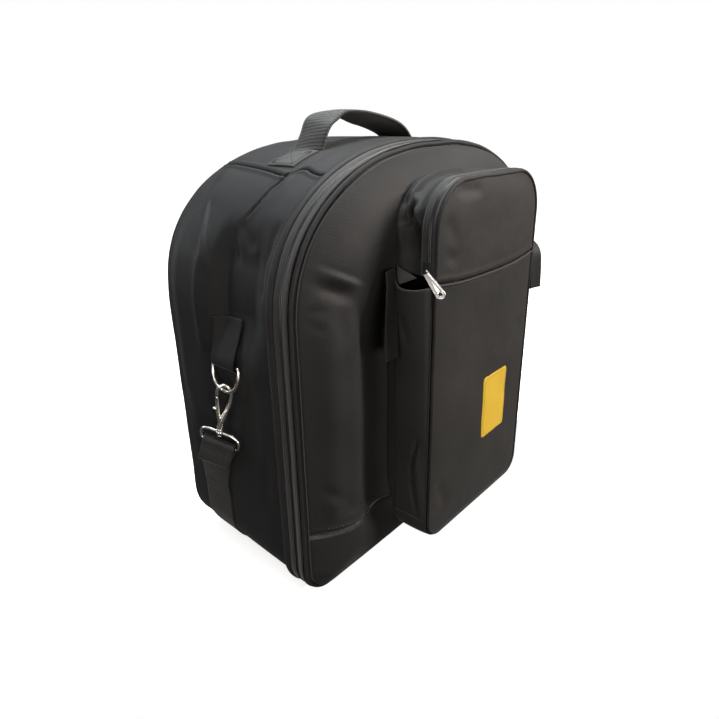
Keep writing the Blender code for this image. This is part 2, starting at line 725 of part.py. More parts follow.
def ring_tab(name, s):
    """Webbing sewn to the side panel and folded round the ring's bar."""
    eye = [(0.0022 * math.cos(2 * math.pi * i / 12), 0.0022 * math.sin(2 * math.pi * i / 12))
           for i in range(12)]
    back = RING_X - WALL - GAP
    out = [(0.0037 * math.cos(a), 0.0037 * math.sin(a))
           for a in [math.radians(-180 + 270 * i / 9) for i in range(10)]]
    out = [(x, z) for x, z in out]
    ring = [(-back, 0.0)] + [(max(x, -back), z) for x, z in out] + \
           [(-back + 0.0018, 0.0062), (-back + 0.0018, 0.0460), (-back, 0.0460)]
    clean = []
    for p in ring:
        if not clean or (Vector(p) - Vector(clean[-1])).length > 2e-4:
            clean.append(p)
    m = frame_of((s * RING_X, RING_Y, RING_Z), (s, 0, 0), (0, 0, 1))
    return as_mesh(plate(name, clean, 0.0145, m, WEB, holes=(eye,)))


HOOK_TURN = math.radians(45)      # the hook's plane is turned about its own long axis
LOOP_TURN = math.radians(18)      # the strap loop is turned less
EYE_TOP = 0.2214                  # centre line of the eye's top
HOOK_BASE = 0.1656
BAR_Z = 0.1480                    # the strap loop's lower bar
HANG_LEAN = math.radians(11)      # the hook hangs from the ring towards the back of the bag
HANG_FROM = (0.0, RING_Y, 0.2163)


def hook_dir(s, turn):
    """Horizontal direction in the hook's plane, towards the back of the bag."""
    return Vector((s * math.sin(turn), math.cos(turn), 0))


def hook_points(s):
    e = hook_dir(s, HOOK_TURN)
    prof = [(0.0, HOOK_BASE, 3.1), (0.0, 0.1700, 3.1), (-0.0024, 0.1780, 2.7),
            (-0.0046, 0.1870, 2.4), (-0.0066, 0.1960, 2.1), (-0.0079, 0.2040, 2.0),
            (-0.0079, 0.2104, 2.0), (-0.0070, 0.2158, 2.0), (-0.0044, 0.2198, 2.0),
            (0.0, EYE_TOP, 2.0), (0.0044, 0.2198, 2.0), (0.0070, 0.2158, 2.0),
            (0.0077, 0.2104, 1.8)]
    pts = [Vector((s * HOOK_X, RING_Y, z)) + e * p for p, z, r in prof]
    # the eye hangs on the ring's bow, so the hook leans from the ring to its own line
    return [tuple(p + Vector((s * (EYE_X - HOOK_X), 0, 0)) * lean(p.z)) for p in pts], \
        [r * 0.001 for p, z, r in prof]


def lean(z):
    return min(max((z - 0.170) / (0.216 - 0.170), 0.0), 1.0)


def gate(name, s):
    """The sprung lever that closes the hook's eye, with its thumb nub."""
    e = hook_dir(s, HOOK_TURN)
    out = [(-0.0012, 0.0), (0.0010, -0.0012), (0.0032, 0.0), (0.0054, 0.0100), (0.0068, 0.0108),
           (0.0082, 0.0126), (0.0076, 0.0146), (0.0062, 0.0156), (0.0073, 0.0240),
           (0.0077, 0.0268), (0.0045, 0.0268), (0.0030, 0.0200), (0.0008, 0.0100)]
    hole = [(0.0010 + 0.0009 * math.cos(2 * math.pi * i / 8),
             0.0012 + 0.0009 * math.sin(2 * math.pi * i / 8)) for i in range(8)]
    origin, up = gate_frame(s)
    m = frame_of(origin, e, up)
    return as_mesh(plate(name, out, 0.0014, m, STEEL, holes=(hole,)))


def gate_frame(s):
    origin = Vector((s * (HOOK_X + (EYE_X - HOOK_X) * lean(0.1800)), RING_Y, 0.1800)) \
        + hook_dir(s, HOOK_TURN) * 0.0012
    up = Vector((s * (EYE_X - HOOK_X), 0, 0.216 - 0.170))
    return origin, up.normalized()


def strap_loop(name, s):
    """A wire loop for the webbing with a boss that the hook's stud turns in."""
    e = hook_dir(s, LOOP_TURN)
    half, top, r = 0.0225, 0.1622, 0.0035
    ring = [(-half + 0.006, BAR_Z), (0.0, BAR_Z), (half - 0.006, BAR_Z), (half - 0.0012, BAR_Z + 0.0006),
            (half, BAR_Z + r), (half, top - 0.006), (half - 0.003, top - 0.0015),
            (half - 0.008, top), (0.0, top), (-half + 0.008, top),
            (-half + 0.003, top - 0.0015), (-half, top - 0.006), (-half, BAR_Z + r),
            (-half + 0.0012, BAR_Z + 0.0006)]
    centre = Vector((s * HOOK_X, RING_Y, 0))
    wire = as_mesh(tube(name, [tuple(centre + e * p + Vector((0, 0, z))) for p, z in ring],
                        0.0017, STEEL, closed=True))
    boss = cylinder(name + "_boss", 0.0040, 0.0048, (s * HOOK_X, RING_Y, 0.1621), (0, 0, 1))
    drill = cylinder(name + "_drill", 0.0018, 0.0200, (s * HOOK_X, RING_Y, 0.1621), (0, 0, 1))
    cut(wire, boss, "UNION")
    cut(wire, drill, "DIFFERENCE")
    return wire


def stud(name, s):
    """The turned stud under the hook; its head holds the strap loop."""
    prof = [(0.0, 0.1652), (0.0014, 0.1652), (0.0014, 0.1593), (0.0030, 0.1593),
            (0.0030, 0.1578), (0.0, 0.1578)]
    me = bpy.data.meshes.new(name)
    me.from_pydata([(x, 0, z) for x, z in prof], [(i, i + 1) for i in range(len(prof) - 1)], [])
    obj = link(bpy.data.objects.new(name, me), STEEL)
    m = obj.modifiers.new("turn", "SCREW")
    m.steps = m.render_steps = 12
    m.use_merge_vertices = True
    m.merge_threshold = 0.00005
    obj.location = (s * HOOK_X, RING_Y, 0)
    return obj


def strap_fold(name, s):
    """The strap's sewn end, folded round the loop's bar."""
    e = hook_dir(s, LOOP_TURN)
    n = Vector((s * math.cos(LOOP_TURN), -math.sin(LOOP_TURN), 0))   # away from the bag
    centre = Vector((s * HOOK_X, RING_Y, BAR_Z))
    r = 0.0017 + GAP + 0.0013
    prof = [(-r, -0.0330), (-r, -0.0150)]
    prof += [(r * math.cos(a), r * math.sin(a)) for a in [math.pi * (1 - i / 6) for i in range(7)]]
    prof += [(r, -0.0150), (r, -0.0330)]
    rows = []
    for half in (-0.0185, 0.0185):
        rows.append([tuple(centre + e * half + n * p + Vector((0, -min(z, 0.0) * 0.36, z)))
                     for p, z in prof])
    obj = surface(name, rows, WEB, lambda c: (c.x - centre.x, c.y - centre.y, 0))
    return thicken(obj, 0.0012)


for side, s in (("left", -1), ("right", 1)):
    tube("d_ring_" + side, ring_points(s), 0.0018, STEEL, closed=True, res=2)
    ring_tab("d_ring_tab_" + side, s)
    pts, radii = hook_points(s)
    tube("snap_hook_" + side, pts, 0.0020, STEEL, radii=radii, res=2)
    gate("hook_gate_" + side, s)
    strap_loop("strap_loop_" + side, s)
    stud("swivel_stud_" + side, s)
    strap_fold("strap_fold_" + side, s)
    turn = Matrix.Translation((0, 0, 0.0010)) @ Matrix.Translation(HANG_FROM) \
        @ Matrix.Rotation(HANG_LEAN, 4, "X") @ Matrix.Translation(-Vector(HANG_FROM))
    bpy.context.view_layer.update()
    for obj in bpy.data.objects:
        if obj.name.startswith(("snap_hook_" + side, "hook_gate_" + side, "strap_loop_" + side,
                                "swivel_stud_" + side, "strap_fold_" + side)):
            obj.matrix_world = turn @ obj.matrix_world

# shoulder strap: from the left fold down the side, under the bag, and up the right side
STRAP_X = WALL + 0.0024
STRAP_Y = 0.1290
right = [(x, z) for x, z in lifted(half_outline(corner_at(STRAP_Y - WEBBING / 2), -0.0024)) if z < 0.060 and x > 0.1]
right = right[::-1]
right = [(STRAP_X, 0.1145), (STRAP_X, 0.0850)] + right + [(0.05, right[-1][1])]
strap_path = [(-x, z) for x, z in right] + right[::-1]


def strap_out(c):
    return (c.x, 0.0, c.z - 0.15)


web_strip("shoulder_strap", strap_path, STRAP_Y, WEBBING, 0.0012, WEB, strap_out)

# three-bar slide that sets the strap's length, on the right side
slot = [rounded(0.0400, 0.0070, 0.0012, 1, 0.0, c) for c in (-0.0057, 0.0057)]
as_mesh(plate("strap_adjuster", rounded(0.0480, 0.0250, 0.0030, 2), 0.0010,
              frame_of((STRAP_X + 0.0016, STRAP_Y, 0.0930), (0, 1, 0), (0, 0, 1)), STEEL,
              holes=slot))

# ---------------------------------------------------------------- origin in the footprint
for obj in list(PARTS.objects) + list(CUTTERS.objects):
    obj.matrix_world = Matrix.Translation((0, -ORIGIN_Y, 0)) @ obj.matrix_world
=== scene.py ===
import math
import random

import bmesh
import bpy
from mathutils import Matrix, Vector, noise


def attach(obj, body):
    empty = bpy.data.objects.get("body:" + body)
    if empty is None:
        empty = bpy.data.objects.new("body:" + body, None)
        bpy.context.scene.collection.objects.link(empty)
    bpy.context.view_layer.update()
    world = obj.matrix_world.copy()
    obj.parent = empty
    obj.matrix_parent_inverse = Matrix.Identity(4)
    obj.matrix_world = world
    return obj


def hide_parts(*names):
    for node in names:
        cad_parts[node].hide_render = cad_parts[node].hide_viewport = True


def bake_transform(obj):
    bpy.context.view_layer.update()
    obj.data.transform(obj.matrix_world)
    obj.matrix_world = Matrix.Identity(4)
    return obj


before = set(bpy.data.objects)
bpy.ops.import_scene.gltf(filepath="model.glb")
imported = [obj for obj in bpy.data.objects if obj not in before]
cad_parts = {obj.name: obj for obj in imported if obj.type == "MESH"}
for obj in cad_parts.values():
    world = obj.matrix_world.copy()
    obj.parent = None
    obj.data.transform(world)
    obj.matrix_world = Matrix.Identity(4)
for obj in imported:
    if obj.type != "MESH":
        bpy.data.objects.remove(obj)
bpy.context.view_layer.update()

random.seed(4)

# ------------------------------------------------------------------ sizes, as in the CAD
H, WALL, D = 0.440, 0.2145, 0.1853
SIDE_TOP, POWER = 0.2873, 2.33
RC0, RC1 = 0.034, 0.060
OY = 0.05183
PIPE_R = 0.0022
LIFT = 0.0030
BULGE, RAMP = 0.0280, 0.060
LID_SEAM = 0.0652
PH, PZ0, PZ1, PF = 0.0973, 0.0361, 0.4121, -0.0699
PRT, PRB = 0.047, 0.022
PSEAM, PZIP = 0.3225, 0.3280
HANDLE_Y = D / 2
RING_Y = 0.0905


def clamp(v, lo=0.0, hi=1.0):
    return lo if v < lo else hi if v > hi else v


def smooth(a, b, v):
    t = clamp((v - a) / (b - a))
    return t * t * (3 - 2 * t)


def bell(v, centre, width):
    return math.exp(-((v - centre) / width) ** 2)


def fract(p, scale, octaves=3, seed=0.0):
    return noise.fractal(Vector((p[0] / scale + seed, p[1] / scale - seed, p[2] / scale + 2 * seed)),
                         0.9, 2.0, octaves)


def seg_dist(p, a, b):
    """(distance from p to segment ab, signed side, position along it) in two dimensions."""
    ax, ay = a
    dx, dy = b[0] - ax, b[1] - ay
    ll = math.hypot(dx, dy)
    t = ((p[0] - ax) * dx + (p[1] - ay) * dy) / (ll * ll)
    s = ((p[0] - ax) * dy - (p[1] - ay) * dx) / ll
    tc = clamp(t)
    return math.hypot(p[0] - ax - dx * tc, p[1] - ay - dy * tc), s, t


def crease(p, a, b, depth, width, end=0.25):
    """A valley along ab, fading out at both ends."""
    d, s, t = seg_dist(p, a, b)
    fade = smooth(-0.02, end, t) * (1 - smooth(1 - end, 1.02, t))
    return -depth * math.exp(-(d / width) ** 2) * fade


def pleat(p, a, b, height, width, end=0.25):
    """Cloth folded over itself along ab: a soft rise on one side, a sharp drop on the other."""
    d, s, t = seg_dist(p, a, b)
    fade = smooth(-0.02, end, t) * (1 - smooth(1 - end, 1.02, t))
    if d > 6 * width:
        return 0.0
    k = smooth(-0.0026, 0.0026, s)
    up = height * math.exp(-max(s, 0.0) / width)
    down = -0.5 * height * math.exp(min(s, 0.0) / (0.45 * width))
    return (up * k + down * (1 - k)) * fade


# ------------------------------------------------------------------ outline of the bag
def corner_at(y):
    return RC0 + (RC1 - RC0) * clamp(y / D)


def dense_half(rc):
    """Right half of the outline from the apex down to the bottom middle, with normals."""
    pts = []
    b = H - SIDE_TOP
    for i in range(97):
        a = math.pi / 2 * (1 - i / 96)
        c, s = max(math.cos(a), 0.0), max(math.sin(a), 0.0)
        if i == 0:
            c, s = 0.0, 1.0
        if i == 96:
            c, s = 1.0, 0.0
        x, z = WALL * c ** (2 / POWER), b * s ** (2 / POWER)
        nx = (x / WALL) ** (POWER - 1) / WALL
        nz = (z / b) ** (POWER - 1) / b
        n = math.hypot(nx, nz)
        pts.append((x, SIDE_TOP + z, nx / n, nz / n))
    for i in range(1, 41):
        pts.append((WALL, SIDE_TOP + (rc - SIDE_TOP) * i / 40, 1.0, 0.0))
    for i in range(1, 17):
        a = math.pi / 2 * i / 16
        pts.append((WALL - rc + rc * math.cos(a), rc - rc * math.sin(a), math.cos(a), -math.sin(a)))
    for i in range(1, 13):
        pts.append(((WALL - rc) * (1 - i / 12), 0.0, 0.0, -1.0))
    cum = [0.0]
    for (x0, z0, _, _), (x1, z1, _, _) in zip(pts, pts[1:]):
        cum.append(cum[-1] + math.hypot(x1 - x0, z1 - z0))
    return pts, cum


_dense = {}


def outline(rc, d, side=1, inset=0.0):
    """Point and outward normal at arc length d below the apex."""
    key = round(rc, 5)
    if key not in _dense:
        _dense[key] = dense_half(key)
    pts, cum = _dense[key]
    if d < 0:
        side, d = -side, -d
    if d >= cum[-1]:
        side, d = -side, 2 * cum[-1] - d
    lo, hi = 0, len(cum) - 1
    while hi - lo > 1:
        mid = (lo + hi) // 2
        if cum[mid] <= d:
            lo = mid
        else:
            hi = mid
    f = (d - cum[lo]) / max(cum[hi] - cum[lo], 1e-9)
    p, q = pts[lo], pts[hi]
    x, z, nx, nz = (p[k] + (q[k] - p[k]) * f for k in range(4))
    return (x - nx * inset) * side, z - nz * inset, nx * side, nz


def total(rc):
    key = round(rc, 5)
    if key not in _dense:
        _dense[key] = dense_half(key)
    return _dense[key][1][-1]


# ------------------------------------------------------------------ materials
def tree(name):
    m = bpy.data.materials.new(name)
    m.use_nodes = True
    nt = m.node_tree
    return m, nt, nt.nodes["Principled BSDF"]


def node(nt, kind, **values):
    n = nt.nodes.new(kind)
    for k, v in values.items():
        if k in n.inputs:
            n.inputs[k].default_value = v
        else:
            setattr(n, k, v)
    return n


def woven(name, dark, light, thread=0.0011, rough=0.62, sheen=0.22, weave=0.35, wrinkle=0.25,
          ribs=False, spec=0.35, diag=False):
    """Woven cloth: crossing threads in UV (metres), a soft mottle, worn sheen and fine crinkles."""
    m, nt, p = tree(name)
    uv = node(nt, "ShaderNodeUVMap", uv_map="cloth")
    obj = node(nt, "ShaderNodeTexCoord")
    big = node(nt, "ShaderNodeTexNoise", Scale=9.0, Detail=4.0, Roughness=0.55)
    nt.links.new(obj.outputs["Object"], big.inputs["Vector"])
    fine = node(nt, "ShaderNodeTexNoise", Scale=170.0, Detail=3.0, Roughness=0.6)
    nt.links.new(obj.outputs["Object"], fine.inputs["Vector"])
    tape = node(nt, "ShaderNodeMapping")
    tape.inputs["Scale"].default_value = (1 / thread, 1 / thread, 1 / thread)
    if diag:
        tape.inputs["Rotation"].default_value = (0, 0, math.radians(35))
    nt.links.new(uv.outputs["UV"], tape.inputs["Vector"])
    warp = node(nt, "ShaderNodeTexWave", Scale=0.32, Distortion=0.8, Detail=1.0,
                wave_type="BANDS", bands_direction="X", wave_profile="SIN")
    weft = node(nt, "ShaderNodeTexWave", Scale=0.32 if not ribs else 0.13, Distortion=0.8,
                Detail=1.0, wave_type="BANDS", bands_direction="Y", wave_profile="SIN")
    nt.links.new(tape.outputs["Vector"], warp.inputs["Vector"])
    nt.links.new(tape.outputs["Vector"], weft.inputs["Vector"])
    both = node(nt, "ShaderNodeMath", operation="MULTIPLY")
    nt.links.new(warp.outputs["Fac"], both.inputs[0])
    nt.links.new(weft.outputs["Fac"], both.inputs[1])
    ramp = node(nt, "ShaderNodeValToRGB")
    ramp.color_ramp.elements[0].position, ramp.color_ramp.elements[1].position = 0.28, 0.78
    ramp.color_ramp.elements[0].color = (*dark, 1)
    ramp.color_ramp.elements[1].color = (*light, 1)
    nt.links.new(big.outputs["Fac"], ramp.inputs["Fac"])
    tint = node(nt, "ShaderNodeMix", data_type="RGBA", blend_type="MULTIPLY")
    tint.inputs["Factor"].default_value = 0.38
    nt.links.new(ramp.outputs["Color"], tint.inputs[6])
    shade = node(nt, "ShaderNodeMapRange")
    shade.inputs["To Min"].default_value, shade.inputs["To Max"].default_value = 0.55, 1.35
    nt.links.new(both.outputs[0], shade.inputs["Value"])
    nt.links.new(shade.outputs["Result"], tint.inputs[7])
    nt.links.new(tint.outputs[2], p.inputs["Base Color"])
    r = node(nt, "ShaderNodeMapRange")
    r.inputs["To Min"].default_value, r.inputs["To Max"].default_value = rough - 0.07, rough + 0.09
    nt.links.new(big.outputs["Fac"], r.inputs["Value"])
    nt.links.new(r.outputs["Result"], p.inputs["Roughness"])
    b1 = node(nt, "ShaderNodeBump", Strength=weave, Distance=0.0004)
    nt.links.new(both.outputs[0], b1.inputs["Height"])
    b2 = node(nt, "ShaderNodeBump", Strength=wrinkle, Distance=0.0012)
    crinkle = node(nt, "ShaderNodeTexNoise", Scale=38.0, Detail=5.0, Roughness=0.62, Distortion=0.6)
    nt.links.new(obj.outputs["Object"], crinkle.inputs["Vector"])
    nt.links.new(crinkle.outputs["Fac"], b2.inputs["Height"])
    nt.links.new(b1.outputs["Normal"], b2.inputs["Normal"])
    nt.links.new(b2.outputs["Normal"], p.inputs["Normal"])
    p.inputs["Sheen Weight"].default_value = sheen
    p.inputs["Sheen Roughness"].default_value = 0.45
    p.inputs["Specular IOR Level"].default_value = spec
    return m


def metal(name, colour, rough, scratch=0.06, warm=0.0):
    m, nt, p = tree(name)
    obj = node(nt, "ShaderNodeTexCoord")
    n = node(nt, "ShaderNodeTexNoise", Scale=420.0, Detail=4.0, Roughness=0.6)
    nt.links.new(obj.outputs["Object"], n.inputs["Vector"])
    smudge = node(nt, "ShaderNodeTexNoise", Scale=90.0, Detail=2.0)
    nt.links.new(obj.outputs["Object"], smudge.inputs["Vector"])
    ramp = node(nt, "ShaderNodeValToRGB")
    ramp.color_ramp.elements[0].position, ramp.color_ramp.elements[1].position = 0.3, 0.7
    ramp.color_ramp.elements[0].color = (*[c * (0.82 - 0.1 * warm * k) for k, c in enumerate(colour)], 1)
    ramp.color_ramp.elements[1].color = (*colour, 1)
    nt.links.new(smudge.outputs["Fac"], ramp.inputs["Fac"])
    nt.links.new(ramp.outputs["Color"], p.inputs["Base Color"])
    r = node(nt, "ShaderNodeMapRange")
    r.inputs["To Min"].default_value, r.inputs["To Max"].default_value = rough, rough + 0.12
    nt.links.new(smudge.outputs["Fac"], r.inputs["Value"])
    nt.links.new(r.outputs["Result"], p.inputs["Roughness"])
    b = node(nt, "ShaderNodeBump", Strength=scratch, Distance=0.0003)
    nt.links.new(n.outputs["Fac"], b.inputs["Height"])
    nt.links.new(b.outputs["Normal"], p.inputs["Normal"])
    p.inputs["Metallic"].default_value = 1.0
    return m


def moulded(name, colour, rough):
    m, nt, p = tree(name)
    obj = node(nt, "ShaderNodeTexCoord")
    n = node(nt, "ShaderNodeTexNoise", Scale=260.0, Detail=3.0)
    nt.links.new(obj.outputs["Object"], n.inputs["Vector"])
    ramp = node(nt, "ShaderNodeValToRGB")
    ramp.color_ramp.elements[0].color = (*[c * 0.7 for c in colour], 1)
    ramp.color_ramp.elements[1].color = (*[c * 1.3 for c in colour], 1)
    nt.links.new(n.outputs["Fac"], ramp.inputs["Fac"])
    nt.links.new(ramp.outputs["Color"], p.inputs["Base Color"])
    b = node(nt, "ShaderNodeBump", Strength=0.2, Distance=0.0004)
    nt.links.new(n.outputs["Fac"], b.inputs["Height"])
    nt.links.new(b.outputs["Normal"], p.inputs["Normal"])
    p.inputs["Roughness"].default_value = rough
    return m


CLOTH = woven("black_polyester", (0.0078, 0.0074, 0.0074), (0.0125, 0.0118, 0.0118), rough=0.58,
              sheen=0.05, spec=0.22, wrinkle=0.20)
# darker copy of the black polyester for the side and top panels and the ring tabs: painted shade, darker to stand in
# for the shade on the gusset
SHADED_SIDE_CLOTH = woven("black_polyester_side", (0.0046, 0.0047, 0.0052), (0.0074, 0.0075, 0.0082), rough=0.58,
             sheen=0.05, spec=0.20, wrinkle=0.14)
# lighter copy of the black polyester for the pocket's front, its lower side and the slip pockets: painted light,
# lighter to stand in for the light falling on the pocket
LIT_POCKET_CLOTH = woven("black_polyester_pocket", (0.0128, 0.0122, 0.0118), (0.0200, 0.0190, 0.0184), rough=0.58,
               sheen=0.05, spec=0.22, wrinkle=0.20)
# near-black, matt copy of the cloth for the inside of the slip pocket's mouth: painted shadow
PAINTED_SHADOW_BLACK = woven("black_pocket_inside", (0.0010, 0.0010, 0.0010), (0.0016, 0.0016, 0.0016), rough=0.9,
               sheen=0.0, spec=0.0, wrinkle=0.1)
# lighter copy of the black cloth for the slip pockets' hem and turned-over corner: painted highlight for the light
# they catch
LIT_HEM_CLOTH = woven("black_binding", (0.024, 0.023, 0.022), (0.038, 0.037, 0.036), thread=0.0010,
            rough=0.6, sheen=0.08, weave=0.4, wrinkle=0.1, spec=0.25)
WEB = woven("black_webbing", (0.0105, 0.0102, 0.0100), (0.0175, 0.0170, 0.0166), thread=0.0016,
            rough=0.55, sheen=0.12, weave=0.9, wrinkle=0.08, ribs=True)
TAPE = woven("zip_tape", (0.0070, 0.0070, 0.0072), (0.0115, 0.0115, 0.0118), thread=0.0009, weave=0.6,
             rough=0.66, ribs=True)
PIPE = woven("piping_cloth", (0.0080, 0.0078, 0.0078), (0.0140, 0.0136, 0.0136), thread=0.0010,
             rough=0.60, weave=0.4, diag=True, spec=0.22, sheen=0.05)
LINING = woven("lining_cloth", (0.030, 0.030, 0.032), (0.046, 0.046, 0.048), thread=0.0007,
               rough=0.5, sheen=0.1, weave=0.3, wrinkle=0.6)
FOAMM = moulded("closed_cell_foam", (0.055, 0.055, 0.058), 0.9)
COIL = moulded("zip_coil", (0.008, 0.008, 0.008), 0.36)
# near-black for tubes laid in the seam grooves: painted shadow of the seams
SEAM_SHADOW_PAINT = moulded("seam_shadow", (0.0030, 0.0030, 0.0032), 0.9)
THREAD = moulded("sewing_thread", (0.026, 0.026, 0.028), 0.6)
STEEL = metal("bright_plated_steel", (0.93, 0.91, 0.87), 0.20, warm=0.3)
PULLM = metal("satin_zip_pull", (0.66, 0.65, 0.63), 0.28)
DARK = moulded("black_enamel", (0.016, 0.016, 0.017), 0.25)
BOARD = moulded("stiffener_board", (0.06, 0.06, 0.06), 0.7)
# darker copy of the black webbing for the hanging tabs: painted shade
SHADED_TAB_WEBBING = woven("black_tab_webbing", (0.0060, 0.0060, 0.0064), (0.0096, 0.0096, 0.0102), thread=0.0012,
               rough=0.62, sheen=0.05, weave=0.35, wrinkle=0.08, spec=0.2)
YELLOW = woven("yellow_patch_cloth", (0.50, 0.31, 0.008), (0.64, 0.42, 0.013), thread=0.0012,
               rough=0.6, sheen=0.1, weave=0.8, wrinkle=0.1, diag=True)


# ------------------------------------------------------------------ mesh helpers
def grid(name, rows, mat, thick=0.0, flip=False, closed=False, sub=0, offset=-1.0):
    """A sheet through rows of points (fit frame), with UVs in metres; thick goes inwards."""
    me = bpy.data.meshes.new(name)
    n = len(rows[0])
    verts = [(p[0], p[1] - OY, p[2]) for row in rows for p in row]
    faces = []
    last = len(rows) if closed else len(rows) - 1
    for i in range(last):
        a, b = i * n, ((i + 1) % len(rows)) * n
        for j in range(n - 1):
            f = (a + j, a + j + 1, b + j + 1, b + j)
            faces.append(f[::-1] if flip else f)
    me.from_pydata(verts, [], faces)
    us, vs = [0.0], [0.0]
    mid = rows[len(rows) // 2]
    for j in range(1, n):
        us.append(us[-1] + (Vector(mid[j]) - Vector(mid[j - 1])).length)
    k = n // 2
    for i in range(1, len(rows) + 1):
        vs.append(vs[-1] + (Vector(rows[i % len(rows)][k]) - Vector(rows[i - 1][k])).length)
    layer = me.uv_layers.new(name="cloth")
    loops = []
    for i in range(last):
        for j in range(n - 1):
            q = [(us[j], vs[i]), (us[j + 1], vs[i]), (us[j + 1], vs[i + 1]), (us[j], vs[i + 1])]
            loops += q[::-1] if flip else q
    layer.data.foreach_set("uv", [c for uv in loops for c in uv])
    me.polygons.foreach_set("use_smooth", [True] * len(me.polygons))
    me.materials.append(mat)
    me.update()
    o = bpy.data.objects.new(name, me)
    bpy.context.scene.collection.objects.link(o)
    if thick:
        s = o.modifiers.new("thickness", "SOLIDIFY")
        s.thickness = thick
        s.offset = offset
    if sub:
        s = o.modifiers.new("round", "SUBSURF")
        s.levels = s.render_levels = sub
    return o


def bake(o):
    """The object's modifiers made part of its mesh."""
    deps = bpy.context.evaluated_depsgraph_get()
    bpy.context.view_layer.update()
    me = bpy.data.meshes.new_from_object(o.evaluated_get(deps))
    old = o.data
    o.modifiers.clear()
    o.data = me
    me.name = old.name
    return o


def tube(name, pts, radius, mat, closed=False, sides=10, radii=None, flat=None):
    """A round tube as a mesh with UVs, its ends rounded off. Points in the fit frame."""
    pts = [Vector(p) for p in pts]
    n = len(pts)
    rows = []
    prev = None
    for i, p in enumerate(pts):
        a = pts[(i - 1) % n] if closed or i else pts[0]
        b = pts[(i + 1) % n] if closed or i < n - 1 else pts[-1]
        t = (b - a).normalized()
        if prev is None:
            side = t.orthogonal().normalized()
        else:
            side = (prev - t * prev.dot(t)).normalized()
        prev = side
        other = t.cross(side)
        r = radii[i] if radii else radius
        rows.append([p + (side * math.cos(2 * math.pi * k / sides)
                          + other * math.sin(2 * math.pi * k / sides)) * r
                     for k in range(sides + 1)])
    if not closed:
        def cap(end, nxt, r):
            out = []
            axis = (end - nxt).normalized()
            ring = rows[0] if nxt == pts[1] and end == pts[0] else rows[-1]
            for f, push in ((0.80, 0.55), (0.35, 0.90), (0.02, 1.0)):
                out.append([end + (q - end) * f + axis * r * 0.5 * push for q in ring])
            return out
        r0 = radii[0] if radii else radius
        r1 = radii[-1] if radii else radius
        first, final = cap(pts[0], pts[1], r0), cap(pts[-1], pts[-2], r1)
        rows = first[::-1] + rows + final
    o = grid(name, rows, mat, closed=closed)
    bm = bmesh.new()
    bm.from_mesh(o.data)
    bmesh.ops.remove_doubles(bm, verts=bm.verts, dist=2e-6)
    if not closed:
        bmesh.ops.holes_fill(bm, edges=[e for e in bm.edges if e.is_boundary], sides=0)
    bmesh.ops.recalc_face_normals(bm, faces=bm.faces)
    bm.to_mesh(o.data)
    bm.free()
    o.data.polygons.foreach_set("use_smooth", [True] * len(o.data.polygons))
    return o


def spline(pts, n, closed=False):
    """Catmull-Rom through the points, n steps per span."""
    pts = [Vector(p) for p in pts]
    m = len(pts)
    out = []
    spans = m if closed else m - 1
    for i in range(spans):
        p0 = pts[(i - 1) % m] if closed or i else pts[0] * 2 - pts[1]
        p1, p2 = pts[i], pts[(i + 1) % m]
        p3 = pts[(i + 2) % m] if closed or i < m - 2 else pts[-1] * 2 - pts[-2]
        for k in range(n):
            t = k / n
            out.append(0.5 * ((2 * p1) + (p2 - p0) * t + (2 * p0 - 5 * p1 + 4 * p2 - p3) * t * t
                              + (3 * p1 - p0 - 3 * p2 + p3) * t ** 3))
    if not closed:
        out.append(pts[-1])
    return out


def resample(pts, n):
    pts = [Vector(p) for p in pts]
    cum = [0.0]
    for a, b in zip(pts, pts[1:]):
        cum.append(cum[-1] + (b - a).length)
    out, k = [], 0
    for i in range(n):
        d = cum[-1] * i / (n - 1)
        while k < len(cum) - 2 and cum[k + 1] < d:
            k += 1
        f = (d - cum[k]) / max(cum[k + 1] - cum[k], 1e-12)
        out.append(pts[k].lerp(pts[k + 1], clamp(f)))
    return out


def stitches(name, runs, body, pitch=0.0038, length=0.0026, r=0.00042, mat=THREAD):
    """Rows of small stitches. Each run is a list of (point, outward normal), fit frame."""
    bm = bmesh.new()
    for run in runs:
        cum = [0.0]
        for (a, _), (b, _) in zip(run, run[1:]):
            cum.append(cum[-1] + (Vector(b) - Vector(a)).length)
        k = 0
        count = int(cum[-1] / pitch)
        for i in range(count):
            d = (i + 0.5) * pitch
            while k < len(cum) - 2 and cum[k + 1] < d:
                k += 1
            f = clamp((d - cum[k]) / max(cum[k + 1] - cum[k], 1e-9))
            p = Vector(run[k][0]).lerp(Vector(run[k + 1][0]), f)
            nrm = Vector(run[k][1]).lerp(Vector(run[k + 1][1]), f).normalized()
            t = (Vector(run[k + 1][0]) - Vector(run[k][0])).normalized()
            s = t.cross(nrm).normalized()
            ring = []
            for u, w in ((-0.5, 0.15), (-0.28, 1.0), (0.28, 1.0), (0.5, 0.15)):
                c = p + t * length * u + nrm * (r * (0.55 if w > 0.5 else -0.3))
                ring.append([bm.verts.new((q.x, q.y - OY, q.z)) for q in
                             (c + s * r * w, c + nrm * r * w, c - s * r * w, c - nrm * r * w)])
            for a, b in zip(ring, ring[1:]):
                for j in range(4):
                    bm.faces.new((a[j], a[(j + 1) % 4], b[(j + 1) % 4], b[j]))
            bm.faces.new(ring[0][::-1])
            bm.faces.new(ring[-1])
    bmesh.ops.recalc_face_normals(bm, faces=bm.faces)
    me = bpy.data.meshes.new(name)
    bm.to_mesh(me)
    bm.free()
    me.polygons.foreach_set("use_smooth", [True] * len(me.polygons))
    me.materials.append(mat)
    o = bpy.data.objects.new(name, me)
    bpy.context.scene.collection.objects.link(o)
    if body:
        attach(o, body)
    return o


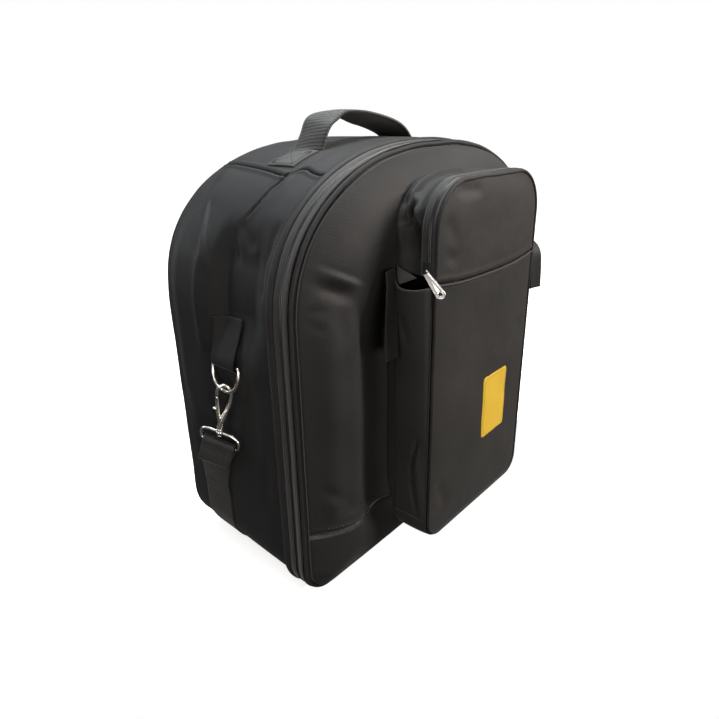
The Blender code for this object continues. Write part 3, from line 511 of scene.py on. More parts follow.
# ------------------------------------------------------------------ camera, floor, light
def camera():
    yaw, pitch, roll = 0.8497, 0.3892, -0.0189
    d = Vector((math.sin(yaw) * math.cos(pitch), math.cos(yaw) * math.cos(pitch), -math.sin(pitch)))
    r = Vector((math.cos(yaw), -math.sin(yaw), 0.0))
    u = r.cross(d)
    r2 = r * math.cos(roll) + u * math.sin(roll)
    u2 = -r * math.sin(roll) + u * math.cos(roll)
    cam = bpy.data.cameras.new("photo_camera")
    cam.sensor_width = 36.0
    cam.lens = 29.71
    cam.clip_start = 0.02
    o = bpy.data.objects.new("photo_camera", cam)
    bpy.context.scene.collection.objects.link(o)
    m = Matrix((r2, u2, -d)).transposed().to_4x4()
    m.translation = Vector((-0.5331, -0.3593 - OY, 0.4642))
    o.matrix_world = m
    bpy.context.scene.camera = o


camera()


def area(name, loc, target, size, power, colour=(1, 1, 1)):
    l = bpy.data.lights.new(name, "AREA")
    l.shape = "RECTANGLE"
    l.size, l.size_y = size
    l.energy = power
    l.color = colour
    o = bpy.data.objects.new(name, l)
    bpy.context.scene.collection.objects.link(o)
    o.location = loc
    o.rotation_euler = (Vector(target) - Vector(loc)).to_track_quat("-Z", "Y").to_euler()
    return o


area("softbox_top", (0.05, 0.35, 1.70), (0, 0.05, 0.3), (0.9, 0.7), 33, (0.92, 0.965, 1.0))
area("softbox_front", (1.25, -1.50, 1.35), (0.0, -0.05, 0.2), (0.7, 0.7), 82, (1.0, 0.94, 0.885))
area("softbox_low", (-0.95, -1.65, 0.26), (-0.05, -0.05, 0.15), (0.9, 0.5), 16, (1.0, 0.90, 0.80))
area("softbox_left", (-1.75, -0.25, 0.50), (-0.10, -0.05, 0.2), (0.35, 0.9), 8, (1.0, 0.96, 0.92))
area("softbox_back_left", (-1.15, 1.45, 1.05), (-0.15, 0.05, 0.25), (0.6, 0.6), 8, (0.93, 0.965, 1.0))


def studio():
    """White backdrop; the light that falls on the object comes mostly from above."""
    w = bpy.data.worlds.new("studio")
    w.use_nodes = True
    nt = w.node_tree
    soft = nt.nodes["Background"]
    soft.inputs["Color"].default_value = (1.0, 0.99, 0.98, 1)
    coord = node(nt, "ShaderNodeTexCoord")
    split = node(nt, "ShaderNodeSeparateXYZ")
    nt.links.new(coord.outputs["Generated"], split.inputs[0])
    up = node(nt, "ShaderNodeMapRange", interpolation_type="SMOOTHSTEP")
    up.inputs["From Min"].default_value, up.inputs["From Max"].default_value = 0.05, 0.95
    up.inputs["To Min"].default_value, up.inputs["To Max"].default_value = 0.05, 0.80
    nt.links.new(split.outputs["Z"], up.inputs["Value"])
    nt.links.new(up.outputs["Result"], soft.inputs["Strength"])
    white = node(nt, "ShaderNodeBackground")
    white.inputs["Color"].default_value = (1, 1, 1, 1)
    white.inputs["Strength"].default_value = 1.0
    path = node(nt, "ShaderNodeLightPath")
    mix = node(nt, "ShaderNodeMixShader")
    nt.links.new(path.outputs["Is Camera Ray"], mix.inputs[0])
    nt.links.new(soft.outputs[0], mix.inputs[1])
    nt.links.new(white.outputs[0], mix.inputs[2])
    nt.links.new(mix.outputs[0], nt.nodes["World Output"].inputs["Surface"])
    bpy.context.scene.world = w
    bpy.context.scene.view_settings.view_transform = "Standard"


studio()

# the bag stands at the edge of a pale table, so the lid can be seen when it is let down
floor_me = bpy.data.meshes.new("floor")
floor_me.from_pydata([(-6, -0.0365, -0.0002), (6, -0.0365, -0.0002), (6, 6, -0.0002), (-6, 6, -0.0002)], [],
                     [(0, 1, 2, 3)])
fm, fnt, fp = tree("pale_floor")
fcoord = node(fnt, "ShaderNodeTexCoord")
fn = node(fnt, "ShaderNodeTexNoise", Scale=3.0, Detail=2.0)
fnt.links.new(fcoord.outputs["Object"], fn.inputs["Vector"])
fr = node(fnt, "ShaderNodeValToRGB")
fr.color_ramp.elements[0].color = (0.93, 0.93, 0.93, 1)
fr.color_ramp.elements[1].color = (0.96, 0.96, 0.96, 1)
fnt.links.new(fn.outputs["Fac"], fr.inputs["Fac"])
fnt.links.new(fr.outputs["Color"], fp.inputs["Base Color"])
fp.inputs["Roughness"].default_value = 0.85
fp.inputs["Emission Color"].default_value = (1, 1, 1, 1)
fp.inputs["Emission Strength"].default_value = 0.55
floor_me.materials.append(fm)
floor = bpy.data.objects.new("floor", floor_me)
bpy.context.scene.collection.objects.link(floor)
# the floor stays pale without lighting the cloth from below
floor.visible_diffuse = False
floor.visible_glossy = False


# ------------------------------------------------------------------ gusset: sides and top
Y0, Y1 = 0.0274, D - 0.0047


SEAM_LEFT = [(p.x, p.y) for p in spline(
    [(0.0000, 0.1430, 0), (0.0150, 0.1400, 0), (0.0274, 0.1376, 0), (0.0333, 0.1385, 0),
     (0.0429, 0.1373, 0), (0.0530, 0.1336, 0), (0.0610, 0.1352, 0), (0.0680, 0.1462, 0),
     (0.0790, 0.1450, 0), (0.0925, 0.1420, 0), (0.1134, 0.1380, 0), (0.1344, 0.1347, 0),
     (0.1554, 0.1320, 0), (0.1802, 0.1280, 0), (0.1950, 0.1262, 0)], 6)]


def seam_d(y, side):
    """Arc length from the apex to the seam between top and side panel."""
    left = SEAM_LEFT[-1][1]
    for (a, p), (b, q) in zip(SEAM_LEFT, SEAM_LEFT[1:]):
        if a <= y <= b:
            left = p + (q - p) * (y - a) / max(b - a, 1e-9)
            break
    return left if side < 0 else 0.1385 - 0.3 * (left - 0.1340)


def swell(side, d, y, x, z):
    """How far the side cloth stands out of its straight line, in metres."""
    e = smooth(Y0, Y0 + 0.026, y) * (1 - smooth(Y1 - 0.026, Y1, y))
    out = 0.0026 * e
    p = (x, y, z)
    out += e * 0.0012 * fract(p, 0.11, 2, 3.1) + e * 0.0004 * fract(p, 0.040, 2, 7.7)
    q = (d, y)
    if side < 0:
        # the front half sinks in between the shoulder and the ring, the back half stays full
        hollow = smooth(0.026, 0.060, y) * (1 - smooth(0.097, 0.111, y))
        out -= 0.0150 * hollow * smooth(0.192, 0.246, d) * (1 - smooth(0.290, 0.345, d))
        out -= 0.0030 * hollow * smooth(0.340, 0.380, d) * (1 - smooth(0.420, 0.500, d))
        out += 0.0054 * e * smooth(0.106, 0.124, y) * smooth(0.19, 0.25, d) * (1 - smooth(0.40, 0.50, d))
        out += 0.0022 * e * bell(y, 0.120, 0.007) * smooth(0.23, 0.26, d) * (1 - smooth(0.31, 0.35, d))
        # the line that runs down from the top seam, and the folds that spread from it
        line = [(0.1470, 0.0680), (0.1560, 0.0692), (0.1660, 0.0728), (0.1780, 0.0740),
                (0.1867, 0.0756), (0.1953, 0.0793), (0.2040, 0.0872)]
        near, at = 1.0, 0.0
        for k, (a, b) in enumerate(zip(line, line[1:])):
            dist, _, t = seg_dist(q, a, b)
            if dist < near:
                near, at = dist, (k + clamp(t)) / (len(line) - 1)
        out -= 0.0026 * math.exp(-(near / 0.0011) ** 2) * (1 - smooth(0.75, 1.0, at))
        out += 0.0014 * math.exp(-((near - 0.0040) / 0.0030) ** 2) * (1 - smooth(0.6, 1.0, at))
        out += pleat(q, (0.2560, 0.1060), (0.1820, 0.1480), 0.0046, 0.0070, 0.22)
        out += crease(q, (0.1830, 0.1520), (0.2500, 0.1240), 0.0030, 0.0060, 0.3)
        out += crease(q, (0.1480, 0.1650), (0.2050, 0.1560), 0.0018, 0.0060, 0.3)
        out += crease(q, (0.2000, 0.0900), (0.2280, 0.0620), 0.0026, 0.0070, 0.3)
        out += crease(q, (0.2050, 0.0950), (0.2450, 0.0860), 0.0022, 0.0050, 0.3)
        out += crease(q, (0.1960, 0.0370), (0.2400, 0.0390), 0.0020, 0.0040, 0.3)
        out += crease(q, (0.2250, 0.0440), (0.2750, 0.0400), 0.0016, 0.0045, 0.3)
        out += crease(q, (0.4200, 0.0440), (0.5000, 0.0500), 0.0014, 0.0070, 0.3)
        out += crease(q, (0.3700, 0.1650), (0.4700, 0.1560), 0.0016, 0.0090, 0.3)
        # drawn in where the ring's tab is sewn on and where the strap lies
        out -= (out - 0.0008) * bell(y, 0.0905, 0.022) * smooth(0.325, 0.337, d) * (1 - smooth(0.385, 0.41, d))
        out -= (out - 0.0006) * bell(y, 0.1180, 0.034) * smooth(0.385, 0.43, d)
    else:
        out -= 0.0050 * e * bell(y, 0.075, 0.026) * smooth(0.20, 0.26, d) * (1 - smooth(0.30, 0.36, d))
        out += 0.0026 * e * bell(y, 0.145, 0.028) * smooth(0.19, 0.25, d) * (1 - smooth(0.40, 0.50, d))
        out += pleat(q, (seam_d(0.10, 1) + 0.002, 0.092), (0.225, 0.112), 0.0034, 0.007, 0.15)
        out += crease(q, (0.1700, 0.0520), (0.2400, 0.0620), 0.0024, 0.0080, 0.3)
        out += crease(q, (0.3400, 0.0480), (0.4300, 0.0600), 0.0016, 0.0080, 0.3)
        out -= (out - 0.0008) * bell(y, 0.0905, 0.022) * smooth(0.325, 0.337, d) * (1 - smooth(0.385, 0.41, d))
        out -= (out - 0.0006) * bell(y, 0.1180, 0.034) * smooth(0.385, 0.43, d)
    # a shallow dent behind the snap hook
    out -= 0.0026 * bell(y, 0.0905, 0.0170) * smooth(0.165, 0.192, z) * (1 - smooth(0.222, 0.242, z))
    s = abs(d - seam_d(y, side))
    out -= 0.0024 * math.exp(-(s / 0.0009) ** 2)
    out += 0.0012 * math.exp(-((s - 0.0040) / 0.0026) ** 2)
    # no swelling where it would reach the floor
    low = smooth(0.010, 0.055, z)
    return out * low


def gusset_point(side, d, y, inset=0.0, swollen=True):
    rc = corner_at(y)
    x, z, nx, nz = outline(rc, d, side, inset)
    if swollen:
        push = swell(side, d, y, abs(x) * side, z)
        x, z = x + nx * push, z + nz * push
    z += LIFT * max(0.0, 1 - z / 0.06) if z < 0.06 else 0.0
    return (x, y, z), (nx, 0, nz)


def toward_start(t):
    """Steps that are finer at the seam, where t is 0."""
    return 0.72 * t + 0.28 * t * t * t


def gusset_rows(side, d0, d1, nd, ny, inset=0.0, y0=Y0, y1=Y1, d0_of=None, d1_of=None):
    rows = []
    for i in range(ny + 1):
        y = y0 + (y1 - y0) * i / ny
        a = d0_of(y) if d0_of else d0
        b = d1_of(y) if d1_of else d1
        rows.append([gusset_point(side, a + (b - a) * toward_start(j / nd), y, inset)[0]
                     for j in range(nd + 1)])
    return rows


def corner_end(y):
    rc = corner_at(y)
    return total(rc) - (WALL - rc) - 0.0004


def side_panel(side):
    tag = "left" if side < 0 else "right"
    top = lambda y: seam_d(y, side) + 0.0002
    # the side cloth is the darker copy of the black polyester: painted shade
    o = grid("side_cloth_" + tag, gusset_rows(side, 0, 0, 300, 120, 0.0, d0_of=top, d1_of=corner_end),
             SHADED_SIDE_CLOTH, 0.0011, flip=side < 0)
    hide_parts("side_panel_" + tag)
    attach(o, "bag_body")
    return o


def over_rows(inset, ny, nd, y0=Y0, y1=Y1, d_of=None):
    """Rows that go over the top from the right to the left."""
    rows = []
    for i in range(ny + 1):
        y = y0 + (y1 - y0) * i / ny
        dr = d_of(y, 1)
        dl = d_of(y, -1)
        row = []
        for j in range(nd + 1):
            k = 2 * j / nd - 1
            k = k * (1.28 - 0.28 * k * k)
            t = (dl if k > 0 else dr) * k
            row.append(gusset_point(1 if t < 0 else -1, abs(t), y, inset)[0])
        rows.append(row)
    return rows


for s in (-1, 1):
    side_panel(s)
# the top cloth is the darker copy of the black polyester too: painted shade
top = grid("top_cloth", over_rows(0.0, 100, 200, d_of=lambda y, s: seam_d(y, s) - 0.0002), SHADED_SIDE_CLOTH, 0.0011,
           offset=1.0)
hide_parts("top_panel")
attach(top, "bag_body")

full = lambda y, s: corner_end(y)
pad = grid("side_padding", over_rows(0.0030, 60, 240, d_of=full), FOAMM, 0.0030,
           offset=1.0)
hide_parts("side_foam")
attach(pad, "bag_body")


def seam_shadow_line(name, side, pts):
    """A near-black tube lying in a seam's groove: painted shadow of the seam."""
    run = []
    for d, y in pts:
        (x, yy, z), (nx, _, nz) = gusset_point(side, d, y)
        run.append((x - nx * 0.0001, yy, z - nz * 0.0001))
    o = tube(name, run, 0.00055, SEAM_SHADOW_PAINT, sides=6)
    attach(o, "bag_body")


for s in (-1, 1):
    seam_shadow_line("top_seam_gap_" + ("left" if s < 0 else "right"), s,
             [(seam_d(y, s), y) for y in [Y0 + 0.001 + (Y1 - Y0 - 0.002) * i / 160 for i in range(161)]])
seam_shadow_line("side_seam_gap", -1, [(p.x, p.y) for p in spline(
    [(0.1470, 0.0680, 0), (0.1560, 0.0692, 0), (0.1660, 0.0728, 0), (0.1780, 0.0740, 0),
     (0.1867, 0.0756, 0), (0.1953, 0.0793, 0), (0.2025, 0.0856, 0)], 8)])


# seam stitching along both top seams and beside the zip flap
def gusset_run(side, pts):
    return [gusset_point(side, d, y) for d, y in pts]


runs = []
for s in (-1, 1):
    for off in (-0.0048,):
        runs.append(gusset_run(s, [(seam_d(y, s) + off, y) for y in
                                   [Y0 + (Y1 - Y0) * i / 60 for i in range(61)]]))
for s in (-1, 1):
    runs.append(gusset_run(s, [(d, Y0 + 0.0030) for d in
                               [0.004 + (corner_end(Y0) - 0.008) * i / 160 for i in range(161)]]))
stitches("gusset_topstitch", runs, "bag_body")


# ------------------------------------------------------------------ main zip
def arch_strip(name, y0, y1, lift_of, mat, body, nodes, thick=0.0010, ny=8,
               inset=0.0, end=0.0):
    rows = []
    for i in range(ny + 1):
        v = i / ny
        y = y0 + (y1 - y0) * v
        rc = corner_at(y)
        dc = total(rc) - (WALL - rc) - rc * math.pi / 4 - end
        row = []
        for j in range(301):
            t = -dc + 2 * dc * j / 300
            side = 1 if t < 0 else -1
            x, z, nx, nz = outline(rc, abs(t), side, inset)
            push = lift_of(v, abs(t), side, (x, y, z))
            row.append((x + nx * push, y, z + nz * push))
        rows.append(row)
    o = grid(name, rows, mat, thick)
    if nodes:
        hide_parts(*nodes)
    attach(o, body)
    return o


def bottom_strip(name, y0, y1, lift_of, mat, body, nodes, thick=0.0010, ny=6):
    rows = []
    for i in range(ny + 1):
        v = i / ny
        y = y0 + (y1 - y0) * v
        rc = corner_at(y)
        d0 = total(rc) - (WALL - rc) - rc * math.pi / 4 + 0.0008
        length = 2 * (total(rc) - d0)
        row = []
        for j in range(121):
            x, z, nx, nz = outline(rc, d0 + length * j / 120, 1)
            push = lift_of(v, x, 0, (x, y, z))
            row.append((x + nx * push, y, z + nz * push))
        rows.append(row)
    o = grid(name, rows, mat, thick)
    if nodes:
        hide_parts(*nodes)
    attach(o, body)
    return o


def wavy(p, size, seed):
    return size * fract(p, 0.030, 2, seed)


def coil(name, y, body, radius=0.0011, sink=0.0002):
    """One side of the zip's coil: a bead with a tooth every 1.6 mm."""
    rc = corner_at(y)
    dc = total(rc) - (WALL - rc) - rc * math.pi / 4
    n = int(2 * dc / 0.0008)
    pts, radii = [], []
    for j in range(n + 1):
        t = -dc + 2 * dc * j / n
        side = 1 if t < 0 else -1
        x, z, nx, nz = outline(rc, abs(t), side, sink)
        pts.append((x, y, z))
        radii.append(radius * (1.0 if j % 2 else 0.66))
    o = tube(name, pts, radius, COIL, sides=6, radii=radii)
    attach(o, body)
    return o


lid_tape = arch_strip("lid_zip_tape", 0.0024, 0.0098,
                      lambda v, d, s, p: -0.0010 * smooth(0.3, 1.0, v) + wavy(p, 0.0003, 1.0),
                      TAPE, "lid", ["lid_zip_half"])
body_tape = arch_strip("body_zip_tape", 0.0122, 0.0208,
                       lambda v, d, s, p: -0.0010 * (1 - smooth(0.0, 0.6, v)) + wavy(p, 0.0003, 2.0),
                       TAPE, "bag_body", ["body_zip_half"])
coil("lid_zip_coil", 0.01025, "lid")
coil("body_zip_coil", 0.01215, "bag_body")
arch_strip("zip_edge_band", 0.0200, 0.0276,
           lambda v, d, s, p: 0.0004 + 0.0013 * math.sin(math.pi * clamp(v)) ** 0.7
           + wavy(p, 0.0004, 3.0), CLOTH, "bag_body", ["zip_flap_strip"], thick=0.0013)
bottom_strip("lid_floor_strip", 0.0024, 0.0121, lambda v, x, s, p: 0.0, CLOTH, "lid",
             ["lid_bottom_strip"])
bottom_strip("body_floor_strip", 0.0130, 0.0272, lambda v, x, s, p: 0.0, CLOTH, "bag_body",
             ["hinge_strip"])
runs = []
for y, r in ((0.0046, 0.0002), (0.0188, 0.0004)):
    rc = corner_at(y)
    dc = total(rc) - (WALL - rc) - rc * math.pi / 4
    run = []
    for j in range(361):
        t = -dc + 2 * dc * j / 360
        side = 1 if t < 0 else -1
        x, z, nx, nz = outline(rc, abs(t), side, -r)
        run.append(((x, y, z), (nx, 0, nz)))
    runs.append(run)
stitches("lid_tape_stitch", runs[:1], "lid")
stitches("body_tape_stitch", runs[1:], "bag_body")


# ------------------------------------------------------------------ main piping
def ring_outline(rc, inset, n=420):
    per = 2 * total(rc)
    return [outline(rc, per * j / n, 1, inset) for j in range(n)]


for name, y, body, cad in (("lid_edge_piping", 0.0, "lid", "lid_piping"),
                           ("back_edge_piping", D - PIPE_R, "bag_body", "back_piping")):
    rc = corner_at(y)
    pts = []
    for x, z, nx, nz in ring_outline(rc, PIPE_R + 0.0001):
        k = 0.0006 * fract((x, y, z), 0.045, 2, 5.0) * smooth(0.0, 0.02, z)
        pts.append((x + nx * k, y + 0.0005 * fract((x, y, z), 0.06, 2, 9.0), z + nz * k))
    o = tube(name, pts, PIPE_R, PIPE, closed=True, sides=12)
    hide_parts(cad)
    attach(o, body)


# ------------------------------------------------------------------ lid
def soft_min(a, b, k=0.012):
    h = clamp(0.5 + 0.5 * (b - a) / k)
    return b + (a - b) * h - k * h * (1 - h)


def arch_x(z):
    if z <= SIDE_TOP:
        return WALL
    t = clamp((z - SIDE_TOP) / (H - SIDE_TOP))
    return WALL * (1 - t ** POWER) ** (1 / POWER)


def arch_z(x):
    t = clamp(abs(x) / WALL)
    return SIDE_TOP + (H - SIDE_TOP) * (1 - t ** POWER) ** (1 / POWER)


def from_seam(x, z):
    side, top = arch_x(z) - abs(x), arch_z(x) - z
    over = side * top / math.hypot(side, top) if side > 0 and top > 0 else 0.0
    near = soft_min(min(over, side), z)
    inside = WALL - RC0
    if abs(x) > inside and z < RC0:
        near = min(near, RC0 - math.hypot(abs(x) - inside, z - RC0))
    return max(0.0, near)


def lid_folds(x, z):
    e = smooth(0.004, 0.030, from_seam(x, z))
    p = (x, 0.0, z)
    out = e * (0.0019 * fract(p, 0.11, 2, 2.3) + 0.0008 * fract(p, 0.045, 2, 5.9))
    q = (x, z)
    # the padding is pressed in beside the pocket and stays full along the rim
    top = 1 - smooth(0.262, 0.362, z)
    out -= 0.0190 * e * math.exp(-(abs(x + 0.118) / 0.030) ** 2.4) * top * smooth(0.030, 0.100, z)
    out -= 0.0075 * e * math.exp(-((x - 0.118) / 0.027) ** 2) * top * smooth(0.012, 0.060, z)
    out += 0.0048 * bell(x, -0.190, 0.013) * smooth(0.07, 0.12, z) * (1 - smooth(0.285, 0.325, z)) * e
    out += 0.0026 * bell(x, 0.190, 0.013) * smooth(0.07, 0.12, z) * (1 - smooth(0.29, 0.37, z)) * e
    # the shoulder ends in a fold, with a second fold just below it
    out += e * pleat(q, (-0.2230, 0.3650), (-0.1420, 0.3240), 0.0048, 0.0090, 0.30)
    out += e * crease(q, (-0.2230, 0.3480), (-0.1540, 0.3150), 0.0052, 0.0066, 0.30)
    out += e * pleat(q, (-0.2110, 0.3190), (-0.1880, 0.3230), 0.0034, 0.0050, 0.25)
    out += e * crease(q, (-0.2080, 0.3060), (-0.1880, 0.2900), 0.0020, 0.0040, 0.3)
    out += e * crease(q, (-0.2030, 0.3100), (-0.1860, 0.3110), 0.0018, 0.0030, 0.3)
    out += e * crease(q, (-0.1560, 0.3250), (-0.1330, 0.2450), 0.0030, 0.0090, 0.3)
    out += e * crease(q, (-0.2050, 0.1380), (-0.1600, 0.0990), 0.0022, 0.0060, 0.3)
    out += e * crease(q, (-0.1900, 0.1020), (-0.1450, 0.0960), 0.0016, 0.0050, 0.3)
    out += e * crease(q, (0.2050, 0.3400), (0.1550, 0.3080), 0.0030, 0.0070, 0.3)
    out += e * crease(q, (0.2070, 0.2500), (0.1800, 0.2300), 0.0020, 0.0060, 0.3)
    # nothing of this shows under the pocket
    hidden = smooth(0.070, 0.0965, abs(x)) if 0.045 < z < 0.400 else 1.0
    return out * hidden


def seam_z(x):
    """Height of the seam across the lid."""
    return 0.0750 + 0.0070 * smooth(0.10, 0.212, abs(x))


def lid_y(x, z, folds=True):
    d = clamp(from_seam(x, z) / RAMP)
    out = BULGE * (1 - (1 - d) ** 2)
    if folds:
        out += lid_folds(x, z)
        s = z - seam_z(x)
        rim = smooth(0.0, 0.02, from_seam(x, z))
        out -= 0.0018 * math.exp(-(s / 0.0011) ** 2) * rim
        out += 0.0013 * math.exp(-((s + 0.0022) / 0.0016) ** 2) * rim
        out += 0.0007 * math.exp(-((s - 0.0042) / 0.0026) ** 2) * rim
    return -0.0004 - max(out, 0.0)


EDGE = 2 * PIPE_R + 0.0006


def lid_levels(n_side=120, n_arch=70):
    """Heights and half widths of the rows, closer together towards the apex and the corners."""
    rc = RC0
    per = total(rc)
    out = []
    end = per - (WALL - rc)
    for i in range(n_side + n_arch + 1):
        d = 0.012 + (end - 0.012) * (i / (n_side + n_arch))
        x, z, nx, nz = outline(rc, d, 1, EDGE)
        out.append((z, x))
    return out[::-1]


LEVELS = lid_levels()


def lid_sheet(name, which, depth, thick, mat, cad, cloth=True, cols=170):
    rows = []
    for z, h in LEVELS:
        row = []
        for j in range(cols + 1):
            t = j / cols
            u = 2 * t - 1
            x = h * (0.72 * u + 0.28 * math.sin(math.pi / 2 * u))
            zz = z
            if which == "lower":
                zz = EDGE + (seam_z(x) - 0.0003 - EDGE) * (z - EDGE) / (LEVELS[-1][0] - EDGE)
            elif which == "upper":
                a = seam_z(x) + 0.0003
                zz = a + (z - EDGE) * (LEVELS[-1][0] - a) / (LEVELS[-1][0] - EDGE)
            if which != "all":
                rr = half_at(zz)
                x = rr * (0.72 * u + 0.28 * math.sin(math.pi / 2 * u))
            row.append((x, lid_y(x, zz) + depth, zz))
        rows.append(row)
    o = grid(name, rows, mat, thick)
    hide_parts(cad)
    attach(o, "lid")
    return o


def half_at(z):
    for (z0, h0), (z1, h1) in zip(LEVELS, LEVELS[1:]):
        if z0 <= z <= z1:
            return h0 + (h1 - h0) * (z - z0) / max(z1 - z0, 1e-9)
    return LEVELS[0][1] if z < LEVELS[0][0] else LEVELS[-1][1]


lid_sheet("lid_upper_cloth", "upper", 0.0, 0.0010, CLOTH, "lid_upper_panel")
lid_sheet("lid_lower_cloth", "lower", 0.0, 0.0010, CLOTH, "lid_lower_panel")
lid_sheet("lid_padding", "all", 0.0016, 0.0036, FOAMM, "lid_foam", cols=48)
lid_sheet("lid_inner_cloth", "all", 0.0056, 0.0006, LINING, "lid_lining", cols=60)
edge_rows = []
for k in range(5):
    f = k / 4
    rc = corner_at(0.0090)
    per = total(rc)
    row = []
    for j in range(301):
        t = 2 * per * j / 300
        x, z, nx, nz = outline(rc, t if t <= per else 2 * per - t, 1 if t <= per else -1,
                               0.0012 + 0.0058 * f)
        row.append((x, 0.0092 - 0.0026 * f, max(z, 0.0014 + 0.0060 * f)))
    edge_rows.append(row)
o = grid("lid_lining_edge", edge_rows, LINING, 0.0005)
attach(o, "lid")
run = []
for i in range(121):
    x = -0.196 + 0.392 * i / 120
    z = seam_z(x) + 0.0052
    run.append(((x, lid_y(x, z), z), (0, -1, 0)))
stitches("lid_seam_stitch", [[r for r in run if r[0][0] < -0.099], [r for r in run if r[0][0] > 0.099]],
         "lid")


# ------------------------------------------------------------------ pocket on the lid
def pocket_dense():
    """The pocket's outline on the right from bottom middle to top middle, with normals."""
    h, z0, z1 = PH, PZ0, PZ1
    pts = []
    for i in range(13):
        pts.append(((h - PRB) * i / 12, z0, 0.0, -1.0))
    for i in range(1, 13):
        a = math.pi / 2 * i / 12
        pts.append((h - PRB + PRB * math.sin(a), z0 + PRB - PRB * math.cos(a), math.sin(a), -math.cos(a)))
    for i in range(1, 61):
        pts.append((h, z0 + PRB + (z1 - PRT - z0 - PRB) * i / 60, 1.0, 0.0))
    for i in range(1, 21):
        a = math.pi / 2 * i / 20
        pts.append((h - PRT + PRT * math.cos(a), z1 - PRT + PRT * math.sin(a), math.cos(a), math.sin(a)))
    for i in range(1, 9):
        pts.append(((h - PRT) * (1 - i / 8), z1, 0.0, 1.0))
    cum = [0.0]
    for a, b in zip(pts, pts[1:]):
        cum.append(cum[-1] + math.hypot(b[0] - a[0], b[1] - a[1]))
    return pts, cum


PP, PCUM = pocket_dense()
P_FLAT = PCUM[12]                       # bottom straight
P_ZIPD = P_FLAT + math.pi / 2 * PRB + (PZIP - PZ0 - PRB)


def pocket_at(d, inset=0.0):
    """Point on the pocket's outline; d from the bottom middle, negative on the left."""
    side = -1 if d < 0 else 1
    d = min(abs(d), PCUM[-1])
    lo, hi = 0, len(PCUM) - 1
    while hi - lo > 1:
        mid = (lo + hi) // 2
        if PCUM[mid] <= d:
            lo = mid
        else:
            hi = mid
    f = (d - PCUM[lo]) / max(PCUM[hi] - PCUM[lo], 1e-9)
    x, z, nx, nz = (PP[lo][k] + (PP[hi][k] - PP[lo][k]) * f for k in range(4))
    return (x - nx * inset) * side, z - nz * inset, nx * side, nz


def gusset_swell(d, v, x, y, z, upper):
    """Folds of the pocket's side cloth; v runs from the lid (0) to the front (1)."""
    e = math.sin(math.pi * clamp(v)) ** 0.6
    p = (x, y, z)
    out = e * (0.0010 + 0.0006 * fract(p, 0.05, 2, 1.7))
    q = (y, z)
    if upper:
        ridge = 1 - abs(fract(p, 0.034, 1, 11.3))
        out += e * (0.0026 * (ridge - 0.7)) * smooth(0.335, 0.36, z)
        if x < 0:
            # crumpled where the padded corner is drawn in by the zip
            out -= 0.0125 * math.exp(-(((y + 0.0425) / 0.0105) ** 2 + ((z - 0.3560) / 0.0230) ** 2))
            out += 0.0044 * bell(y, -0.0290, 0.0048) * smooth(0.340, 0.365, z)
            out += pleat(q, (-0.0320, 0.4040), (-0.0500, 0.3660), 0.0062, 0.0050, 0.20)
            out += crease(q, (-0.0260, 0.4030), (-0.0320, 0.3700), 0.0058, 0.0034, 0.25)
            out += crease(q, (-0.0380, 0.4000), (-0.0360, 0.3680), 0.0052, 0.0030, 0.25)
            out += crease(q, (-0.0500, 0.3880), (-0.0470, 0.3600), 0.0024, 0.0028, 0.3)
        else:
            out -= 0.0040 * math.exp(-(((y + 0.0420) / 0.0120) ** 2 + ((z - 0.3530) / 0.0220) ** 2))
            out += crease(q, (-0.0330, 0.4000), (-0.0450, 0.3660), 0.0026, 0.0040, 0.25)
    else:
        out -= e * 0.0075 * smooth(0.286, 0.316, z)
    return out


def sag(x, z, v):
    """The pocket's top droops a little behind its zip, most at the left corner."""
    if z < 0.36:
        return 0.0
    k = math.sin(math.pi * clamp(v * 0.62 + 0.19)) * smooth(0.365, 0.410, z)
    return k * (0.0018 + 0.0068 * bell(x, -0.080, 0.030) + 0.0022 * bell(x, 0.080, 0.030))


def pocket_side(name, y_front, d_from, d_to, upper, cad, ny=48, nd=260):
    rows = []
    for i in range(ny + 1):
        v = i / ny
        row = []
        for j in range(nd + 1):
            d = d_from + (d_to - d_from) * j / nd
            if upper:
                # over the top, from the right zip end to the left one
                t = P_ZIPD + 0.0002 + (PCUM[-1] - P_ZIPD - 0.0002) * min(2 * j / nd, 2 - 2 * j / nd)
                x, z, nx, nz = pocket_at(t if j <= nd / 2 else -t)
            else:
                x, z, nx, nz = pocket_at(d)
            back = lid_y(x, z) + 0.0002
            y = back + (y_front - back) * v
            k = gusset_swell(0.0, v, x, y, z, upper)
            drop = sag(x, z, 1 - v) * (1 - smooth(0.70, 1.0, v)) if upper else 0.0
            row.append((x + nx * k, y, z + nz * k - drop))
        rows.append(row)
    # the lower side is in the lighter pocket cloth: painted light
    o = grid(name, rows, CLOTH if upper else LIT_POCKET_CLOTH, 0.0010, flip=not upper)
    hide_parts(cad)
    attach(o, "lid")
    return o


pocket_side("pocket_side_lower", -0.0664, -P_ZIPD + 0.0002, P_ZIPD - 0.0002, False,
            "pocket_gusset_lower", nd=300)
pocket_side("pocket_side_upper", -0.0534, 0, 0, True, "pocket_gusset_upper")


def pocket_over(name, y0, y1, push_of, mat, body, cad, ny=5, thick=0.0009):
    rows = []
    for i in range(ny + 1):
        v = i / ny
        y = y0 + (y1 - y0) * v
        row = []
        for j in range(161):
            t = P_ZIPD + 0.0006 + (PCUM[-1] - P_ZIPD - 0.0006) * min(2 * j / 160, 2 - 2 * j / 160)
            x, z, nx, nz = pocket_at(t if j <= 80 else -t)
            k = push_of(v) + 0.0004 * fract((x, y, z), 0.03, 2, 6.0)
            row.append((x + nx * k, y, z + nz * k))
        rows.append(row)
    o = grid(name, rows, mat, thick)
    if cad:
        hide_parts(cad)
    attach(o, body)
    return o


